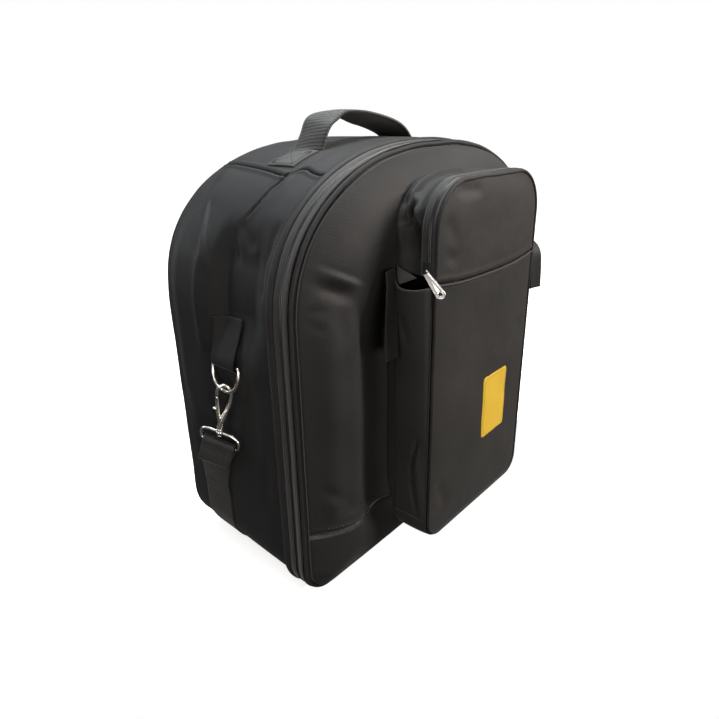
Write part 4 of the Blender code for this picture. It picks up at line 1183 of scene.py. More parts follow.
def pocket_coil(name, y, body):
    n = int(2 * (PCUM[-1] - P_ZIPD) / 0.0008)
    pts, radii = [], []
    for j in range(n + 1):
        t = P_ZIPD + 0.001 + (PCUM[-1] - P_ZIPD - 0.001) * min(2 * j / n, 2 - 2 * j / n)
        x, z, nx, nz = pocket_at(t if j <= n / 2 else -t, 0.0003)
        pts.append((x, y, z))
        radii.append(0.0010 * (1.0 if j % 2 else 0.66))
    o = tube(name, pts, 0.0010, COIL, sides=6, radii=radii)
    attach(o, body)


pocket_over("pocket_zip_tape_rear", -0.0534, -0.0602, lambda v: 0.0006 - 0.0012 * v, TAPE, "lid",
            "pocket_zip_gusset_half")
pocket_over("pocket_zip_tape_front", -0.0614, -0.0668, lambda v: -0.0006 + 0.0010 * v, TAPE,
            "pocket_flap", "pocket_zip_flap_half")
pocket_coil("pocket_zip_coil_rear", -0.0604, "lid")
pocket_coil("pocket_zip_coil_front", -0.0621, "pocket_flap")


def pocket_half(z, inset):
    z0, z1, h = PZ0 + inset, PZ1 - inset, PH - inset
    rb, rt = PRB - inset, PRT - inset
    if z < z0 + rb:
        return h - rb + math.sqrt(max(rb * rb - (z0 + rb - z) ** 2, 0.0))
    if z > z1 - rt:
        return h - rt + math.sqrt(max(rt * rt - (z - z1 + rt) ** 2, 0.0))
    return h


def pocket_seam(x):
    return PSEAM - 0.0052 * (1 - (x / PH) ** 2)


def front_y(x, z):
    h = pocket_half(z, 0.0032)
    e1 = clamp((h - abs(x)) / 0.045)
    e2 = clamp((z - PZ0 - 0.003) / 0.045)
    e3 = clamp((PZ1 - 0.003 - z) / 0.040)
    full = (1 - (1 - e1) ** 2.2) * (1 - (1 - e2) ** 2.2) * (1 - (1 - e3) ** 2.2)
    q = (x, z)
    out = 0.0016 + 0.0034 * full
    out += full * (0.0014 * fract((x, 0, z), 0.09, 2, 4.4) + 0.0005 * fract((x, 0, z), 0.03, 2, 8.1))
    out += crease(q, (-0.084, 0.384), (-0.066, 0.350), 0.0013, 0.0080, 0.4)
    out += crease(q, (-0.088, 0.350), (-0.060, 0.336), 0.0012, 0.0070, 0.4)
    out += crease(q, (-0.070, 0.402), (-0.020, 0.398), 0.0014, 0.0060, 0.3)
    out += crease(q, (-0.085, 0.110), (-0.066, 0.062), 0.0016, 0.0070, 0.3)
    out += crease(q, (0.084, 0.250), (0.052, 0.205), 0.0016, 0.0090, 0.3)
    out -= 0.0016 * bell(x, 0.062, 0.020) * bell(z, 0.29, 0.03)
    s = z - pocket_seam(x)
    out -= 0.0014 * math.exp(-(s / 0.0009) ** 2)
    out += 0.0015 * math.exp(-((s + 0.0019) / 0.0012) ** 2)
    out += 0.0006 * math.exp(-((s - 0.0040) / 0.0022) ** 2)
    return PF + 0.0030 - out


def pocket_sheet(name, lower, cad, body):
    inset = 0.0032
    n = 150 if lower else 70
    z_lo, z_hi = PZ0 + inset, PZ1 - inset
    rows = []
    for i in range(n + 1):
        v = i / n
        row = []
        for j in range(121):
            u = 2 * j / 120 - 1
            x = PH * u
            for _ in range(3):
                sz = pocket_seam(x)
                if lower:
                    z = z_lo + (sz - 0.0003 - z_lo) * (1 - (1 - v) ** 1.25 if v < 1 else 1)
                else:
                    z = sz + 0.0003 + (z_hi - sz - 0.0003) * (1 - (1 - v) ** 1.6)
                x = pocket_half(z, inset) * (0.75 * u + 0.25 * math.sin(math.pi / 2 * u))
            row.append((x, front_y(x, z), z))
        rows.append(row)
    # the pocket's front is in the lighter pocket cloth: painted light
    o = grid(name, rows, LIT_POCKET_CLOTH, 0.0010)
    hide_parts(cad)
    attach(o, body)
    return o


pocket_sheet("pocket_face_lower", True, "pocket_front_lower", "lid")
pocket_sheet("pocket_face_upper", False, "pocket_front_upper", "pocket_flap")
run = []
for i in range(81):
    x = -0.089 + 0.178 * i / 80
    z = pocket_seam(x) - 0.0044
    run.append(((x, front_y(x, z), z), (0, -1, 0)))
stitches("pocket_seam_stitch", [run], "lid")

for name, lower, cad, body in (("pocket_edge_piping_lower", True, "pocket_piping_lower", "lid"),
                               ("pocket_edge_piping_upper", False, "pocket_piping_upper",
                                "pocket_flap")):
    seam = P_FLAT + math.pi / 2 * PRB + (PSEAM - PZ0 - PRB)
    pts = []
    n = 200 if lower else 130
    for j in range(n + 1):
        if lower:
            d = -seam + 0.0003 + 2 * (seam - 0.0003) * j / n
        else:
            t = seam + 0.0003 + (PCUM[-1] - seam - 0.0003) * min(2 * j / n, 2 - 2 * j / n)
            d = t if j <= n / 2 else -t
        x, z, nx, nz = pocket_at(d, 0.0020)
        k = 0.0005 * fract((x, 0.0, z), 0.05, 2, 3.0)
        pts.append((x + nx * k, PF + 0.0018 + k * 0.5, z + nz * k))
    o = tube(name, pts, 0.0018, PIPE, sides=10)
    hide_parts(cad)
    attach(o, body)


def mouth(side, v):
    """Height and outward reach of the slip pocket's mouth; v runs from front to back."""
    z = 0.3196 - 0.0024 * math.sin(math.pi * min(v / 0.9, 1.0)) ** 0.8
    z += 0.0045 * smooth(0.70, 1.0, v)
    reach = math.sin(math.pi * min(v, 1.0)) ** 0.45 * 0.0128
    if side > 0:
        reach += 0.0030 * bell(v, 0.18, 0.16)
    return z, reach


def slip(side):
    tag = "left" if side < 0 else "right"
    rows = []
    n, m = 90, 40
    y_a, y_b = -0.0652, -0.0262
    for i in range(n + 1):
        t = i / n
        row = []
        for j in range(m + 1):
            v = j / m
            top, reach = mouth(side, v)
            z = 0.0620 + (top - 0.0620) * t
            y = y_a + (y_b - y_a) * v
            sw = math.sin(math.pi * v) ** 0.7 * 0.0018 * (1 - t) + reach * (0.16 * t + 0.84 * t ** 2.4)
            p = (side, y, z)
            sw += math.sin(math.pi * v) * 0.0009 * fract(p, 0.05, 2, 2.0 + side)
            if side > 0:
                sw += 0.0032 * bell(v, 0.14, 0.12) * smooth(0.10, 0.16, z) * (1 - smooth(0.29, 0.32, z))
            if side < 0:
                q = (y, z)
                # the long fold low down on the left
                sw += 0.0034 * math.exp(-(((y + 0.0580 - 0.0030 * math.sin((z - 0.11) * 28)) / 0.0042) ** 2
                                          + ((z - 0.112) / 0.038) ** 2))
                sw += crease(q, (-0.0560, 0.1640), (-0.0475, 0.1120), 0.0034, 0.0026, 0.2)
                sw += crease(q, (-0.0475, 0.1120), (-0.0575, 0.0650), 0.0036, 0.0026, 0.2)
                sw += crease(q, (-0.0330, 0.3000), (-0.0480, 0.2600), 0.0020, 0.0050, 0.3)
            edge = smooth(0.0, 0.03, t) * smooth(0.0, 0.05, v) * smooth(0.0, 0.05, 1 - v)
            row.append((side * (PH + 0.0014 + max(sw, 0.0002) * max(edge, 0.05)), y, z))
        rows.append(row)
    # the slip pocket is in the lighter pocket cloth: painted light
    o = grid("slip_cloth_" + tag, rows, LIT_POCKET_CLOTH, 0.0010, flip=side > 0)
    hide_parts("slip_pocket_" + tag)
    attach(o, "lid")
    # bound edge of the mouth
    hem = []
    for j in range(61):
        v = j / 60
        top, reach = mouth(side, v)
        edge = smooth(0.0, 0.05, v) * smooth(0.0, 0.05, 1 - v)
        hem.append((side * (PH + 0.0016 + reach * max(edge, 0.05)), y_a + (y_b - y_a) * v, top - 0.0006))
    # the hem is in the lighter binding cloth: painted highlight
    h = tube("slip_hem_" + tag, hem, 0.0011, LIT_HEM_CLOTH, sides=8)
    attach(h, "lid")


for s in (-1, 1):
    slip(s)


def slip_corner():
    """The slip pocket's rear corner, turned over and lying on the pocket's wall."""
    rows = []
    a, b, c = Vector((0, -0.0268, 0.3350)), Vector((0, -0.0345, 0.3190)), Vector((0, -0.0500, 0.3262))
    for i in range(25):
        t = i / 24
        row = []
        for j in range(17):
            u = j / 16
            p = a.lerp(c, t * 0.96).lerp(b.lerp(c, t * 0.96), u)
            out = 0.0022 + 0.0016 * math.sin(math.pi * u) * (1 - t) + 0.0062 * u * (1 - t)
            row.append((-(PH + out), p.y, p.z))
        rows.append(row)
    # the turned-over corner is in the same lighter cloth: painted highlight
    o = grid("slip_corner_left", rows, LIT_HEM_CLOTH, 0.0009)
    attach(o, "lid")
    # near-black sheet on the wall inside the mouth: painted shadow of the slip pocket's opening
    rows = []
    for i in range(17):
        z = 0.285 + 0.043 * i / 16
        rows.append([(-(PH + 0.0020 - 0.0075 * smooth(0.286, 0.316, z) * 0.35), -0.0625 + 0.0330 * j / 16, z)
                     for j in range(17)])
    o = grid("slip_lining_left", rows, PAINTED_SHADOW_BLACK, 0.0004)
    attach(o, "lid")


slip_corner()


def tab(side):
    """Flat webbing; the left one hangs straight, the right one lies over the slip pocket's mouth."""
    tag = "left" if side < 0 else "right"
    if side < 0:
        mid = [(-0.1150, -0.0302, 0.3335), (-0.1156, -0.0318, 0.3200), (-0.1168, -0.0330, 0.2950),
               (-0.1184, -0.0345, 0.2700), (-0.1204, -0.0364, 0.2484)]
        turns = [math.radians(a) for a in (14, 12, 5, -4, -10)]
    else:
        mid = [(0.1180, -0.0302, 0.3335), (0.1180, -0.0375, 0.3316), (0.1176, -0.0480, 0.3272),
               (0.1146, -0.0592, 0.3222), (0.1128, -0.0650, 0.3130), (0.1132, -0.0666, 0.2950),
               (0.1140, -0.0674, 0.2735)]
        turns = [math.radians(a) for a in (0, -2, -4, -8, -12, -14, -14)]
    pts = spline(mid, 8)
    rows = []
    for i, p in enumerate(pts):
        k = min(i / 8, len(turns) - 1.001)
        a = turns[int(k)] + (turns[int(k) + 1] - turns[int(k)]) * (k - int(k))
        across = Vector((math.cos(a), math.sin(a), 0))
        along = (pts[min(i + 1, len(pts) - 1)] - pts[max(i - 1, 0)]).normalized()
        out = across.cross(along).normalized()
        rows.append([p + across * (j / 12 - 0.5) * 0.0182 + out * 0.0006 * math.sin(math.pi * j / 12)
                     for j in range(13)])
    # the tab is in the darker webbing: painted shade
    o = grid("hanging_tab_" + tag, rows, SHADED_TAB_WEBBING, 0.0014)
    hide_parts("side_tab_" + tag)
    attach(o, "side_tab_" + tag)


for s in (-1, 1):
    tab(s)


# plain patch on the pocket
def patch():
    rows = []
    cx, cz, hw, hh, r = 0.0240, 0.1600, 0.0252, 0.0370, 0.0040
    for i in range(41):
        v = 2 * i / 40 - 1
        row = []
        dz = hh * math.sin(math.pi / 2 * v)
        over = max(abs(dz) - (hh - r), 0.0)
        h = hw - r + math.sqrt(max(r * r - over * over, 0.0))
        for j in range(29):
            u = math.sin(math.pi / 2 * (2 * j / 28 - 1))
            x, z = cx + h * u, cz + dz
            rim = min(h - abs(h * u), hh - abs(dz))
            row.append((x, front_y(x, z) - 0.0004 - 0.0006 * smooth(0.0, 0.0014, rim)
                        + 0.0003 * bell(rim, 0.0026, 0.0006), z))
        rows.append(row)
    o = grid("plain_patch", rows, YELLOW, 0.0006)
    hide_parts("front_badge")
    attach(o, "lid")
    loop = []
    for i in range(81):
        a = 2 * math.pi * i / 80
        c, s = math.cos(a), math.sin(a)
        x = cx + (hw - 0.0026) * math.copysign(abs(c) ** 0.22, c)
        z = cz + (hh - 0.0026) * math.copysign(abs(s) ** 0.22, s)
        loop.append(((x, front_y(x, z) - 0.0010, z), (0, -1, 0)))
    stitches("patch_stitch", [loop], "lid", pitch=0.0030, length=0.0021, r=0.00034, mat=YELLOW)


patch()


# ------------------------------------------------------------------ handle
def handle():
    back = [(-0.0985, 0.4318), (-0.0945, 0.4340), (-0.0885, 0.4410), (-0.0829, 0.4490),
            (-0.0765, 0.4605), (-0.0674, 0.4664), (-0.0520, 0.4694), (-0.0372, 0.4690),
            (-0.0220, 0.4645), (-0.0058, 0.4594), (0.0100, 0.4560), (0.0264, 0.4515),
            (0.0390, 0.4470), (0.0500, 0.4410), (0.0598, 0.4338)]
    front = [(-0.0900, 0.4330), (-0.0876, 0.4385), (-0.0841, 0.4475), (-0.0795, 0.4545),
             (-0.0740, 0.4594), (-0.0655, 0.4636), (-0.0590, 0.4675), (-0.0480, 0.4704),
             (-0.0246, 0.4698), (-0.0050, 0.4672), (0.0130, 0.4638), (0.0280, 0.4600),
             (0.0410, 0.4550), (0.0521, 0.4475), (0.0640, 0.4350)]
    b = resample(spline([(x, 0.1112, z) for x, z in back], 6), 97)
    f = resample(spline([(x, 0.0738, z) for x, z in front], 6), 97)
    rows = []
    for p, q in zip(b, f):
        row = []
        for j in range(13):
            u = j / 12
            c = p.lerp(q, u)
            row.append((c.x, c.y, c.z + 0.0010 * math.sin(math.pi * u)))
        rows.append(row)
    o = grid("handle_webbing", rows, WEB, 0.0026)
    bake(o)
    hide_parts("handle")
    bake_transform(o)
    # the sewn ends lie flat on the top panel
    for tag, x_near, x_far in (("left", -0.0930, -0.1290), ("right", 0.0640, 0.1010)):
        rows = []
        for i in range(25):
            t = i / 24
            x = x_near + (x_far - x_near) * t
            row = []
            for j in range(13):
                y = HANDLE_Y + (j / 12 - 0.5) * 0.038
                d = abs(x) * 1.018 + 0.0004
                side = -1 if x < 0 else 1
                (px, py, pz), (nx, _, nz) = gusset_point(side, d, y)
                k = 0.0016 + 0.0007 * math.sin(math.pi * j / 12) - 0.0012 * smooth(0.94, 1.0, t)
                row.append((px + nx * k, py, pz + nz * k))
            rows.append(row)
        e = grid("handle_end_webbing_" + tag, rows, WEB, 0.0016, flip=x_far > x_near)
        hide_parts("handle_end_" + tag)
        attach(e, "bag_body")
        runs = []
        side = -1 if x_near < 0 else 1
        xa, xb = (x_near + (x_far - x_near) * 0.12), (x_near + (x_far - x_near) * 0.90)
        ya, yb = HANDLE_Y - 0.0155, HANDLE_Y + 0.0155
        for (x0, y0), (x1, y1) in (((xa, ya), (xb, ya)), ((xb, ya), (xb, yb)), ((xb, yb), (xa, yb)),
                                   ((xa, yb), (xa, ya)), ((xa, ya), (xb, yb)), ((xa, yb), (xb, ya))):
            run = []
            for i in range(17):
                t = i / 16
                x, y = x0 + (x1 - x0) * t, y0 + (y1 - y0) * t
                (px, py, pz), (nx, _, nz) = gusset_point(side, abs(x) * 1.018 + 0.0004, y)
                run.append(((px + nx * 0.0021, py, pz + nz * 0.0021), (nx, 0, nz)))
            runs.append(run)
        stitches("handle_stitch_" + tag, runs, "bag_body", pitch=0.0030, length=0.0022)


handle()


# ------------------------------------------------------------------ back, bottom, lining
def flat_face(name, y, inset, rc, mat, thick, cad, crown, facing, puff=0.0):
    pts = []
    for i in range(101):
        d = 0.012 + (total(rc) - (WALL - rc) - 0.012) * i / 100
        x, z, nx, nz = outline(rc, d, 1, inset)
        pts.append((z, x))
    rows = []
    for z, h in pts[::-1]:
        row = []
        for j in range(61):
            u = 2 * j / 60 - 1
            x = h * (0.72 * u + 0.28 * math.sin(math.pi / 2 * u))
            k = clamp(from_seam(x, z) / 0.05)
            c = crown * (1 - (1 - k) ** 2) + puff * k * fract((x, y, z), 0.09, 2, 2.0)
            row.append((x, y + facing * c, z))
        rows.append(row)
    o = grid(name, rows, mat, thick, flip=facing > 0)
    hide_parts(cad)
    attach(o, "bag_body")
    return o


flat_face("back_cloth", D - 0.0030, 2 * PIPE_R, RC1, CLOTH, 0.0010, "back_panel", 0.0042, 1,
                    0.0014)
flat_face("back_padding", D - 0.0044, 0.0105, RC1, FOAMM, 0.0040, "back_foam", 0.0020, 1)

rows = []
for i in range(41):
    y = 0.0278 + (D - 0.0050 - 0.0278) * i / 40
    rc = corner_at(y)
    row = []
    for j in range(81):
        x = (WALL - rc - 0.0006) * (2 * j / 80 - 1)
        row.append((x, y, LIFT + 0.0006 * fract((x, y, 0), 0.08, 2, 4.0) * smooth(0, 0.02, (WALL - rc) - abs(x))))
    rows.append(row)
o = grid("bottom_cloth", rows, CLOTH, 0.0010, flip=True)
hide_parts("bottom_panel")
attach(o, "bag_body")


def lining():
    """Loose lining: round the sides, over the bottom pad and across the back."""
    rows = []
    y0, y1 = 0.0276, D - 0.0098
    for i in range(41):
        y = y0 + (y1 - y0) * i / 40
        rc = corner_at(y)
        per = total(rc)
        row = []
        for j in range(241):
            t = 2 * per * j / 240
            side = 1 if t <= per else -1
            d = t if t <= per else 2 * per - t
            x, z, nx, nz = outline(rc, d, side, 0.0062)
            e = smooth(0, 0.25, i / 40) * (1 - smooth(0.75, 1, i / 40))
            z = max(z, 0.0116)
            k = -0.0016 * e * (0.6 + fract((x, y, z), 0.05, 3, 1.2))
            k += 1.04 * min(0.0, swell(side, d, y, x, z)) - 0.0006 * e
            row.append((x + nx * k, y, max(z + nz * k, 0.0116)))
        rows.append(row)
    rc = corner_at(y1)
    per = total(rc)
    for f in (0.97, 0.92, 0.86, 0.79, 0.71, 0.63, 0.55, 0.47, 0.39, 0.31, 0.23, 0.16, 0.09, 0.04, 0.0):
        row = []
        for j in range(241):
            t = 2 * per * j / 240
            side = 1 if t <= per else -1
            d = t if t <= per else 2 * per - t
            x, z, nx, nz = outline(rc, d, side, 0.0062)
            x, z = x * f, 0.21 + (max(z, 0.0116) - 0.21) * f
            row.append((x, y1 + 0.0008 - 0.0016 * (0.5 + fract((x, y1, z), 0.06, 3, 1.9)), z))
        rows.append(row)
    o = grid("inner_lining", rows, LINING, 0.0005, flip=True, offset=1.0)
    bm = bmesh.new()
    bm.from_mesh(o.data)
    bmesh.ops.remove_doubles(bm, verts=bm.verts, dist=2e-6)
    bm.to_mesh(o.data)
    bm.free()
    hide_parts("body_lining")
    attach(o, "bag_body")
    rows = []
    rc = corner_at(0.0272)
    per = total(rc)
    for k in range(6):
        inset = 0.0068 - 0.0066 * k / 5
        row = []
        for j in range(301):
            t = 2 * per * j / 300
            side = 1 if t <= per else -1
            d = t if t <= per else 2 * per - t
            x, z, nx, nz = outline(rc, d, side, inset)
            low = 0.0120 + (0.0010 - 0.0120) * k / 5
            row.append((x, 0.0271 - 0.0006 * math.sin(math.pi * k / 5), max(z, low)))
        rows.append(row)
    o = grid("lining_edge", rows, LINING, 0.0006)
    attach(o, "bag_body")


lining()


# ------------------------------------------------------------------ rings, hooks and strap
RING_Z, RING_X, RING_TILT = 0.2430, WALL + 0.0043, math.radians(9)
EYE_X, HOOK_X = RING_X + 0.0045, WALL + 0.0135
HOOK_TURN, LOOP_TURN, HANG = math.radians(45), math.radians(18), math.radians(11)
BAR_Z = 0.1480


def hang(p):
    """Leans a point of the hanging hook from the ring towards the back of the bag."""
    y, z = p[1] - RING_Y, p[2] - 0.2163 + 0.0046 * (1 - smooth(0.172, 0.206, p[2]))
    c, s = math.cos(HANG), math.sin(HANG)
    return Vector((p[0], RING_Y + y * c - z * s, 0.2163 + 0.0010 + y * s + z * c))


def hook_dir(side, turn):
    return Vector((side * math.sin(turn), math.cos(turn), 0))


def smooth_tube(name, pts, radii, mat, body, cad, closed=False, steps=6, sides=16):
    """A round bar whose thickness changes along it, drawn through the points."""
    line = spline([Vector(p) for p in pts], steps, closed)
    n = len(pts)
    rr = []
    for i in range(len(line)):
        k = i / steps
        a = int(k) % n
        b = (a + 1) % n if closed else min(a + 1, n - 1)
        f = k - int(k)
        rr.append(radii[a] * (1 - f) + radii[b] * f)
    o = tube(name, line, 0.0, mat, closed=closed, sides=sides, radii=rr)
    if cad:
        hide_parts(*cad)
    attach(o, body)
    return o


def turned(name, prof, at, mat, body, cad=None):
    """A turned piece: (radius, height) profile about an upright axis, leaned with the hook."""
    rows = []
    for r, z in prof:
        rows.append([hang((at[0] + r * math.cos(2 * math.pi * k / 32),
                           at[1] + r * math.sin(2 * math.pi * k / 32), z)) for k in range(33)])
    o = grid(name, rows, mat, closed=False)
    bm = bmesh.new()
    bm.from_mesh(o.data)
    bmesh.ops.remove_doubles(bm, verts=bm.verts, dist=2e-6)
    bmesh.ops.recalc_face_normals(bm, faces=bm.faces)
    bm.to_mesh(o.data)
    bm.free()
    o.data.polygons.foreach_set("use_smooth", [True] * len(o.data.polygons))
    if cad:
        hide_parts(cad)
    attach(o, body)
    return o


def ring(side):
    tag = "left" if side < 0 else "right"
    half, drop = 0.0203, 0.0270
    pts = [(half * k, 0.0) for k in (-0.80, -0.4, 0.0, 0.4, 0.80)] + [(half * 0.965, -0.0016)]
    for i in range(1, 16):
        a = math.pi * i / 16
        pts.append((half * math.copysign(abs(math.cos(a)) ** 0.75, math.cos(a)),
                    -0.0030 - (drop - 0.0030) * math.sin(a) ** 0.85))
    pts.append((-half * 0.965, -0.0016))
    world = [(side * (RING_X - z * math.sin(RING_TILT)), RING_Y + y, RING_Z + z * math.cos(RING_TILT))
             for y, z in pts]
    smooth_tube("d_ring_wire_" + tag, world, [0.0018] * len(world), STEEL, "d_ring_" + tag,
                ["d_ring_" + tag], closed=True, steps=5)


def d_side(y, z):
    """Arc length to a height on the straight side wall."""
    rc = corner_at(y)
    return total(rc) - (WALL - rc) - math.pi / 2 * rc - (z - rc)


def ring_tab(side):
    """Webbing that is sewn to the side and folded round the ring's bar."""
    tag = "left" if side < 0 else "right"
    half = 0.0168
    cols = []
    for j in range(25):
        y = RING_Y + half * (2 * j / 24 - 1)

        def on(z, off):
            (x, yy, zz), (nx, _, nz) = gusset_point(side, d_side(y, z), y)
            return Vector((x + nx * off, yy, zz + nz * off))

        r = 0.0032
        pts = [on(0.2640, 0.0007), on(0.2560, 0.0007)]
        pts += [Vector((side * (RING_X - 0.0030), y, RING_Z + 0.0040))]
        pts += [Vector((side * (RING_X + r * math.cos(a)), y, RING_Z + r * math.sin(a)))
                for a in [math.radians(180 + 180 * k / 6) for k in range(7)]]
        pts += [Vector((side * (RING_X + 0.0026), y, RING_Z + 0.0060)), on(0.2600, 0.0031),
                on(0.2680, 0.0026), on(0.2800, 0.0021), on(0.2885, 0.0019)]
        cols.append(spline(pts, 4))
    rows = [[cols[j][i] for j in range(25)] for i in range(len(cols[0]))]
    # the ring tab takes the darker side cloth: painted shade
    o = grid("ring_tab_webbing_" + tag, rows, SHADED_SIDE_CLOTH, 0.0011, flip=side > 0)
    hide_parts("d_ring_tab_" + tag)
    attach(o, "bag_body")
    runs = []
    ya, yb = RING_Y - half + 0.0025, RING_Y + half - 0.0025
    for (y0, z0), (y1, z1) in (((ya, 0.2860), (yb, 0.2860)), ((yb, 0.2860), (yb, 0.2600)),
                               ((yb, 0.2600), (ya, 0.2600)), ((ya, 0.2600), (ya, 0.2860)),
                               ((ya, 0.2600), (yb, 0.2860)), ((ya, 0.2860), (yb, 0.2600))):
        run = []
        for i in range(13):
            y, z = y0 + (y1 - y0) * i / 12, z0 + (z1 - z0) * i / 12
            off = 0.0035 - 0.0012 * smooth(0.260, 0.270, z)
            (px, py, pz), (nx, _, nz) = gusset_point(side, d_side(y, z), y)
            run.append(((px + nx * off, py, pz + nz * off), (nx, 0, nz)))
        runs.append(run)
    stitches("ring_tab_stitch_" + tag, runs, "bag_body", pitch=0.0030, length=0.0022)


def lean(z):
    return clamp((z - 0.170) / (0.216 - 0.170))


def hook(side):
    tag = "left" if side < 0 else "right"
    e = hook_dir(side, HOOK_TURN)
    prof = [(0.0, 0.1662, 3.2), (0.0, 0.1690, 3.3), (-0.0006, 0.1735, 3.3), (-0.0018, 0.1790, 3.2),
            (-0.0036, 0.1870, 2.9), (-0.0056, 0.1950, 2.4), (-0.0070, 0.2030, 2.1),
            (-0.0074, 0.2100, 2.0), (-0.0066, 0.2158, 2.0), (-0.0042, 0.2198, 2.0),
            (0.0, 0.2214, 2.0), (0.0042, 0.2198, 2.0), (0.0066, 0.2158, 2.0), (0.0070, 0.2104, 1.8)]
    pts = [hang(Vector((side * (HOOK_X + (EYE_X - HOOK_X) * lean(z)), RING_Y, z)) + e * p)
           for p, z, r in prof]
    smooth_tube("snap_hook_body_" + tag, pts, [r * 0.001 for p, z, r in prof], STEEL,
                "snap_hook_" + tag, ["snap_hook_" + tag], steps=5)
    lever = [(0.0020, 0.1765, 1.5), (0.0022, 0.1800, 2.0), (0.0034, 0.1860, 2.0), (0.0044, 0.1920, 2.0),
             (0.0054, 0.1980, 1.9), (0.0062, 0.2035, 1.7), (0.0067, 0.2078, 1.4)]
    pts = [hang(Vector((side * (HOOK_X + (EYE_X - HOOK_X) * lean(z)), RING_Y, z)) + e * p)
           for p, z, r in lever]
    smooth_tube("hook_lever_" + tag, pts, [r * 0.001 for p, z, r in lever], STEEL,
                "hook_gate_" + tag, ["hook_gate_" + tag], steps=5)
    knob = [(0.0052, 0.1930, 1.2), (0.0068, 0.1932, 1.5), (0.0080, 0.1936, 1.7), (0.0088, 0.1938, 1.4)]
    pts = [hang(Vector((side * (HOOK_X + (EYE_X - HOOK_X) * lean(z)), RING_Y, z)) + e * p)
           for p, z, r in knob]
    smooth_tube("hook_knob_" + tag, pts, [r * 0.001 for p, z, r in knob], STEEL,
                "hook_gate_" + tag, [], steps=4)
    at = (side * HOOK_X, RING_Y)
    turned("swivel_barrel_" + tag,
           [(0.0001, 0.1578), (0.0026, 0.1578), (0.0030, 0.1582), (0.0030, 0.1590), (0.0026, 0.1594),
            (0.0014, 0.1595), (0.0014, 0.1646), (0.0030, 0.1649), (0.0036, 0.1654), (0.0036, 0.1668),
            (0.0032, 0.1675), (0.0020, 0.1679), (0.0001, 0.1680)], at, STEEL, "snap_hook_" + tag,
           "swivel_stud_" + tag)


def strap_wire(side):
    tag = "left" if side < 0 else "right"
    e = hook_dir(side, LOOP_TURN)
    half, top, r = 0.0225, 0.1622, 0.0035
    ring_pts = [(-half + 0.006, BAR_Z), (-0.006, BAR_Z), (0.006, BAR_Z), (half - 0.006, BAR_Z),
                (half - 0.0014, BAR_Z + 0.0005), (half, BAR_Z + r), (half, top - 0.0062),
                (half - 0.0024, top - 0.0022), (half - 0.008, top - 0.0004), (0.006, top), (-0.006, top),
                (-half + 0.008, top - 0.0004), (-half + 0.0024, top - 0.0022), (-half, top - 0.0062),
                (-half, BAR_Z + r), (-half + 0.0014, BAR_Z + 0.0005)]
    centre = Vector((side * HOOK_X, RING_Y, 0))
    pts = [hang(centre + e * p + Vector((0, 0, z))) for p, z in ring_pts]
    smooth_tube("strap_loop_wire_" + tag, pts, [0.0017] * len(pts), STEEL, "strap_loop_" + tag,
                ["strap_loop_" + tag], closed=True, steps=5)
    turned("strap_loop_boss_" + tag,
           [(0.0018, 0.1597), (0.0036, 0.1597), (0.0040, 0.1602), (0.0042, 0.1620), (0.0040, 0.1640),
            (0.0036, 0.1645), (0.0018, 0.1645), (0.0018, 0.1597)], (side * HOOK_X, RING_Y), STEEL,
           "strap_loop_" + tag)


def strap(side):
    """Strap end folded round the loop's bar, running down the side and under the bag."""
    tag = "left" if side < 0 else "right"
    e = hook_dir(side, LOOP_TURN)
    n = Vector((side * math.cos(LOOP_TURN), -math.sin(LOOP_TURN), 0))
    centre = Vector((side * HOOK_X, RING_Y, BAR_Z))
    r = 0.0031
    prof = [(-r + 0.0020, -0.0345), (-r + 0.0021, -0.0290), (-r + 0.0032, -0.0200), (r - 0.0008, -0.0100),
            (r, -0.0030)]
    prof += [(r * math.cos(a), r * math.sin(a)) for a in [math.pi * i / 6 for i in range(7)]]
    prof += [(-r, -0.0060), (-r, -0.0160), (-r, -0.0280)]
    cols = []
    m = 24
    for j in range(m + 1):
        u = 2 * j / m - 1
        pts = []
        for p, z in prof:
            pts.append(hang(centre + e * (0.0186 * u) + n * p
                            + Vector((0, -min(z, 0.0) * 0.36, z))))
        y = 0.1325 + 0.0205 * u if side < 0 else 0.1290 + 0.0190 * u
        rc = corner_at(y)
        end = total(rc)
        lift = 0.0016 if side < 0 else 0.0020
        for z in (0.0960, 0.0880, 0.0760, 0.0640, 0.0520):
            k = smooth(0.100, 0.060, z) if side < 0 else 1.0
            (x, yy, zz), (nx, _, nz) = gusset_point(side, d_side(y, z), y)
            off = lift + 0.0010 * smooth(0.076, 0.096, z) * (1 if side < 0 else 0) \
                + 0.0005 * (1 - u * u)
            pts.append(Vector((x + nx * off, yy, zz + nz * off)))
        d0 = d_side(y, 0.0450)
        for i in range(15):
            d = d0 + (end - 0.0004 - d0) * i / 14
            (x, yy, zz), (nx, _, nz) = gusset_point(side, d, y)
            pts.append(Vector((x + nx * 0.0016, yy, max(zz + nz * 0.0014, 0.0013))))
        cols.append(spline(pts, 5))
    rows = [[cols[j][i] for j in range(m + 1)] for i in range(len(cols[0]))]
    o = grid("strap_webbing_" + tag, rows, WEB, 0.0012, flip=side > 0)
    bake(o)
    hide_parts("strap_fold_" + tag)
    if side < 0:
        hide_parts("shoulder_strap")
    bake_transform(o)


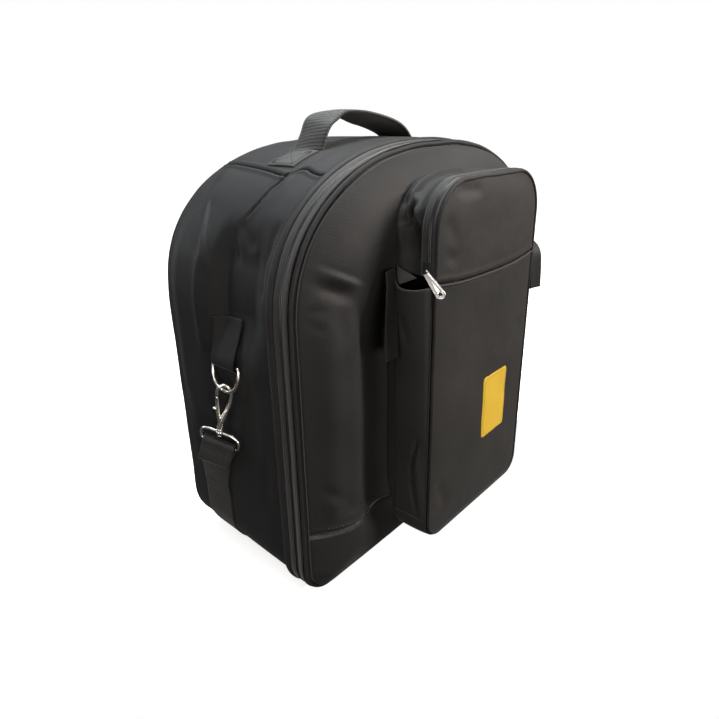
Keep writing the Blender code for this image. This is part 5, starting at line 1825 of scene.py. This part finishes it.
def zip_pull():
    """Flat die-cast pull with a raised rim and a hole, turned a little on its fork."""
    pivot = Vector((-0.1009, OY - 0.11148, 0.3335))
    up = Vector((0, 0.694658, 0.71934))
    twist = math.radians(38)
    face = Vector((-math.cos(twist), -0.71934 * math.sin(twist), 0.694658 * math.sin(twist)))
    across = up.cross(face).normalized()
    length, w0, w1, hole = 0.0300, 0.0030, 0.0045, 0.0017
    mid = Vector((0, -length + w1 + 0.0006))
    rows = []
    n = 64
    # rings of points from the hole outwards, then over the rim to the back
    def outer(a, inset):
        c, s = math.cos(a), math.sin(a)
        if s <= 0:
            return Vector((mid.x + (w1 - inset) * c, mid.y + (w1 - inset) * s))
        top = 0.0006 - inset
        reach = top - mid.y
        k = min((w1 - inset) / max(abs(c), 1e-6), reach / max(s, 1e-6))
        y = mid.y + k * s
        w = (w1 + (w0 - w1) * clamp((y - mid.y) / reach)) - inset
        k = min(w / max(abs(c), 1e-6), reach / max(s, 1e-6))
        return Vector((mid.x + k * c, mid.y + k * s))
    levels = [("hole", 0.0, 0.0003), ("hole", 0.0002, 0.00075), ("in", 0.0016, 0.00055), ("in", 0.0011, 0.00060),
              ("in", 0.0008, 0.00088), ("in", 0.0003, 0.00090), ("in", 0.0, 0.0006), ("in", 0.0, -0.0006),
              ("in", 0.0003, -0.00090), ("in", 0.0011, -0.00090), ("hole", 0.0002, -0.00075), ("hole", 0.0, -0.0003),
              ("hole", 0.0, 0.0003)]
    for kind, inset, h in levels:
        row = []
        for k in range(n + 1):
            a = 2 * math.pi * k / n
            if kind == "hole":
                q = Vector((mid.x + (hole + inset) * math.cos(a), mid.y + (hole + inset) * math.sin(a)))
            else:
                q = outer(a, inset)
            row.append(pivot + across * q.x + up * q.y + face * h)
        rows.append(row)
    o = grid("pocket_zip_pull", rows, PULLM)
    bm = bmesh.new()
    bm.from_mesh(o.data)
    bmesh.ops.remove_doubles(bm, verts=bm.verts, dist=2e-6)
    bmesh.ops.recalc_face_normals(bm, faces=bm.faces)
    bm.to_mesh(o.data)
    bm.free()
    o.data.polygons.foreach_set("use_smooth", [True] * len(o.data.polygons))
    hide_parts("pocket_pull")
    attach(o, "pocket_pull")


zip_pull()
for s in (-1, 1):
    ring(s)
    ring_tab(s)
    hook(s)
    strap_wire(s)
    strap(s)


# ------------------------------------------------------------------ finishes of the CAD pieces
LOOKS = {"bottom_board": BOARD, "bottom_foam": FOAMM, "main_slider_upper": DARK,
         "main_slider_lower": DARK, "pocket_slider": DARK, "main_pull_upper": PULLM,
         "main_pull_lower": PULLM, "pocket_pull": PULLM, "strap_adjuster": STEEL,
         "d_ring_tab_left": WEB, "d_ring_tab_right": WEB, "shoulder_strap": WEB,
         "strap_fold_left": WEB, "strap_fold_right": WEB}
SOFTENED = {"main_slider_upper", "main_slider_lower", "pocket_slider", "main_pull_upper",
            "main_pull_lower", "pocket_pull", "strap_adjuster", "hook_gate_left", "hook_gate_right"}
for name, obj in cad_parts.items():
    look = LOOKS.get(name, STEEL if any(k in name for k in ("ring", "hook", "loop", "stud", "gate"))
                     else CLOTH)
    for s in obj.material_slots:
        s.link = "OBJECT"
        s.material = look
    if name in SOFTENED:
        soft = obj.modifiers.new("edges", "BEVEL")
        soft.width, soft.segments, soft.limit_method = 0.00028, 3, "ANGLE"
        soft.angle_limit = math.radians(35)
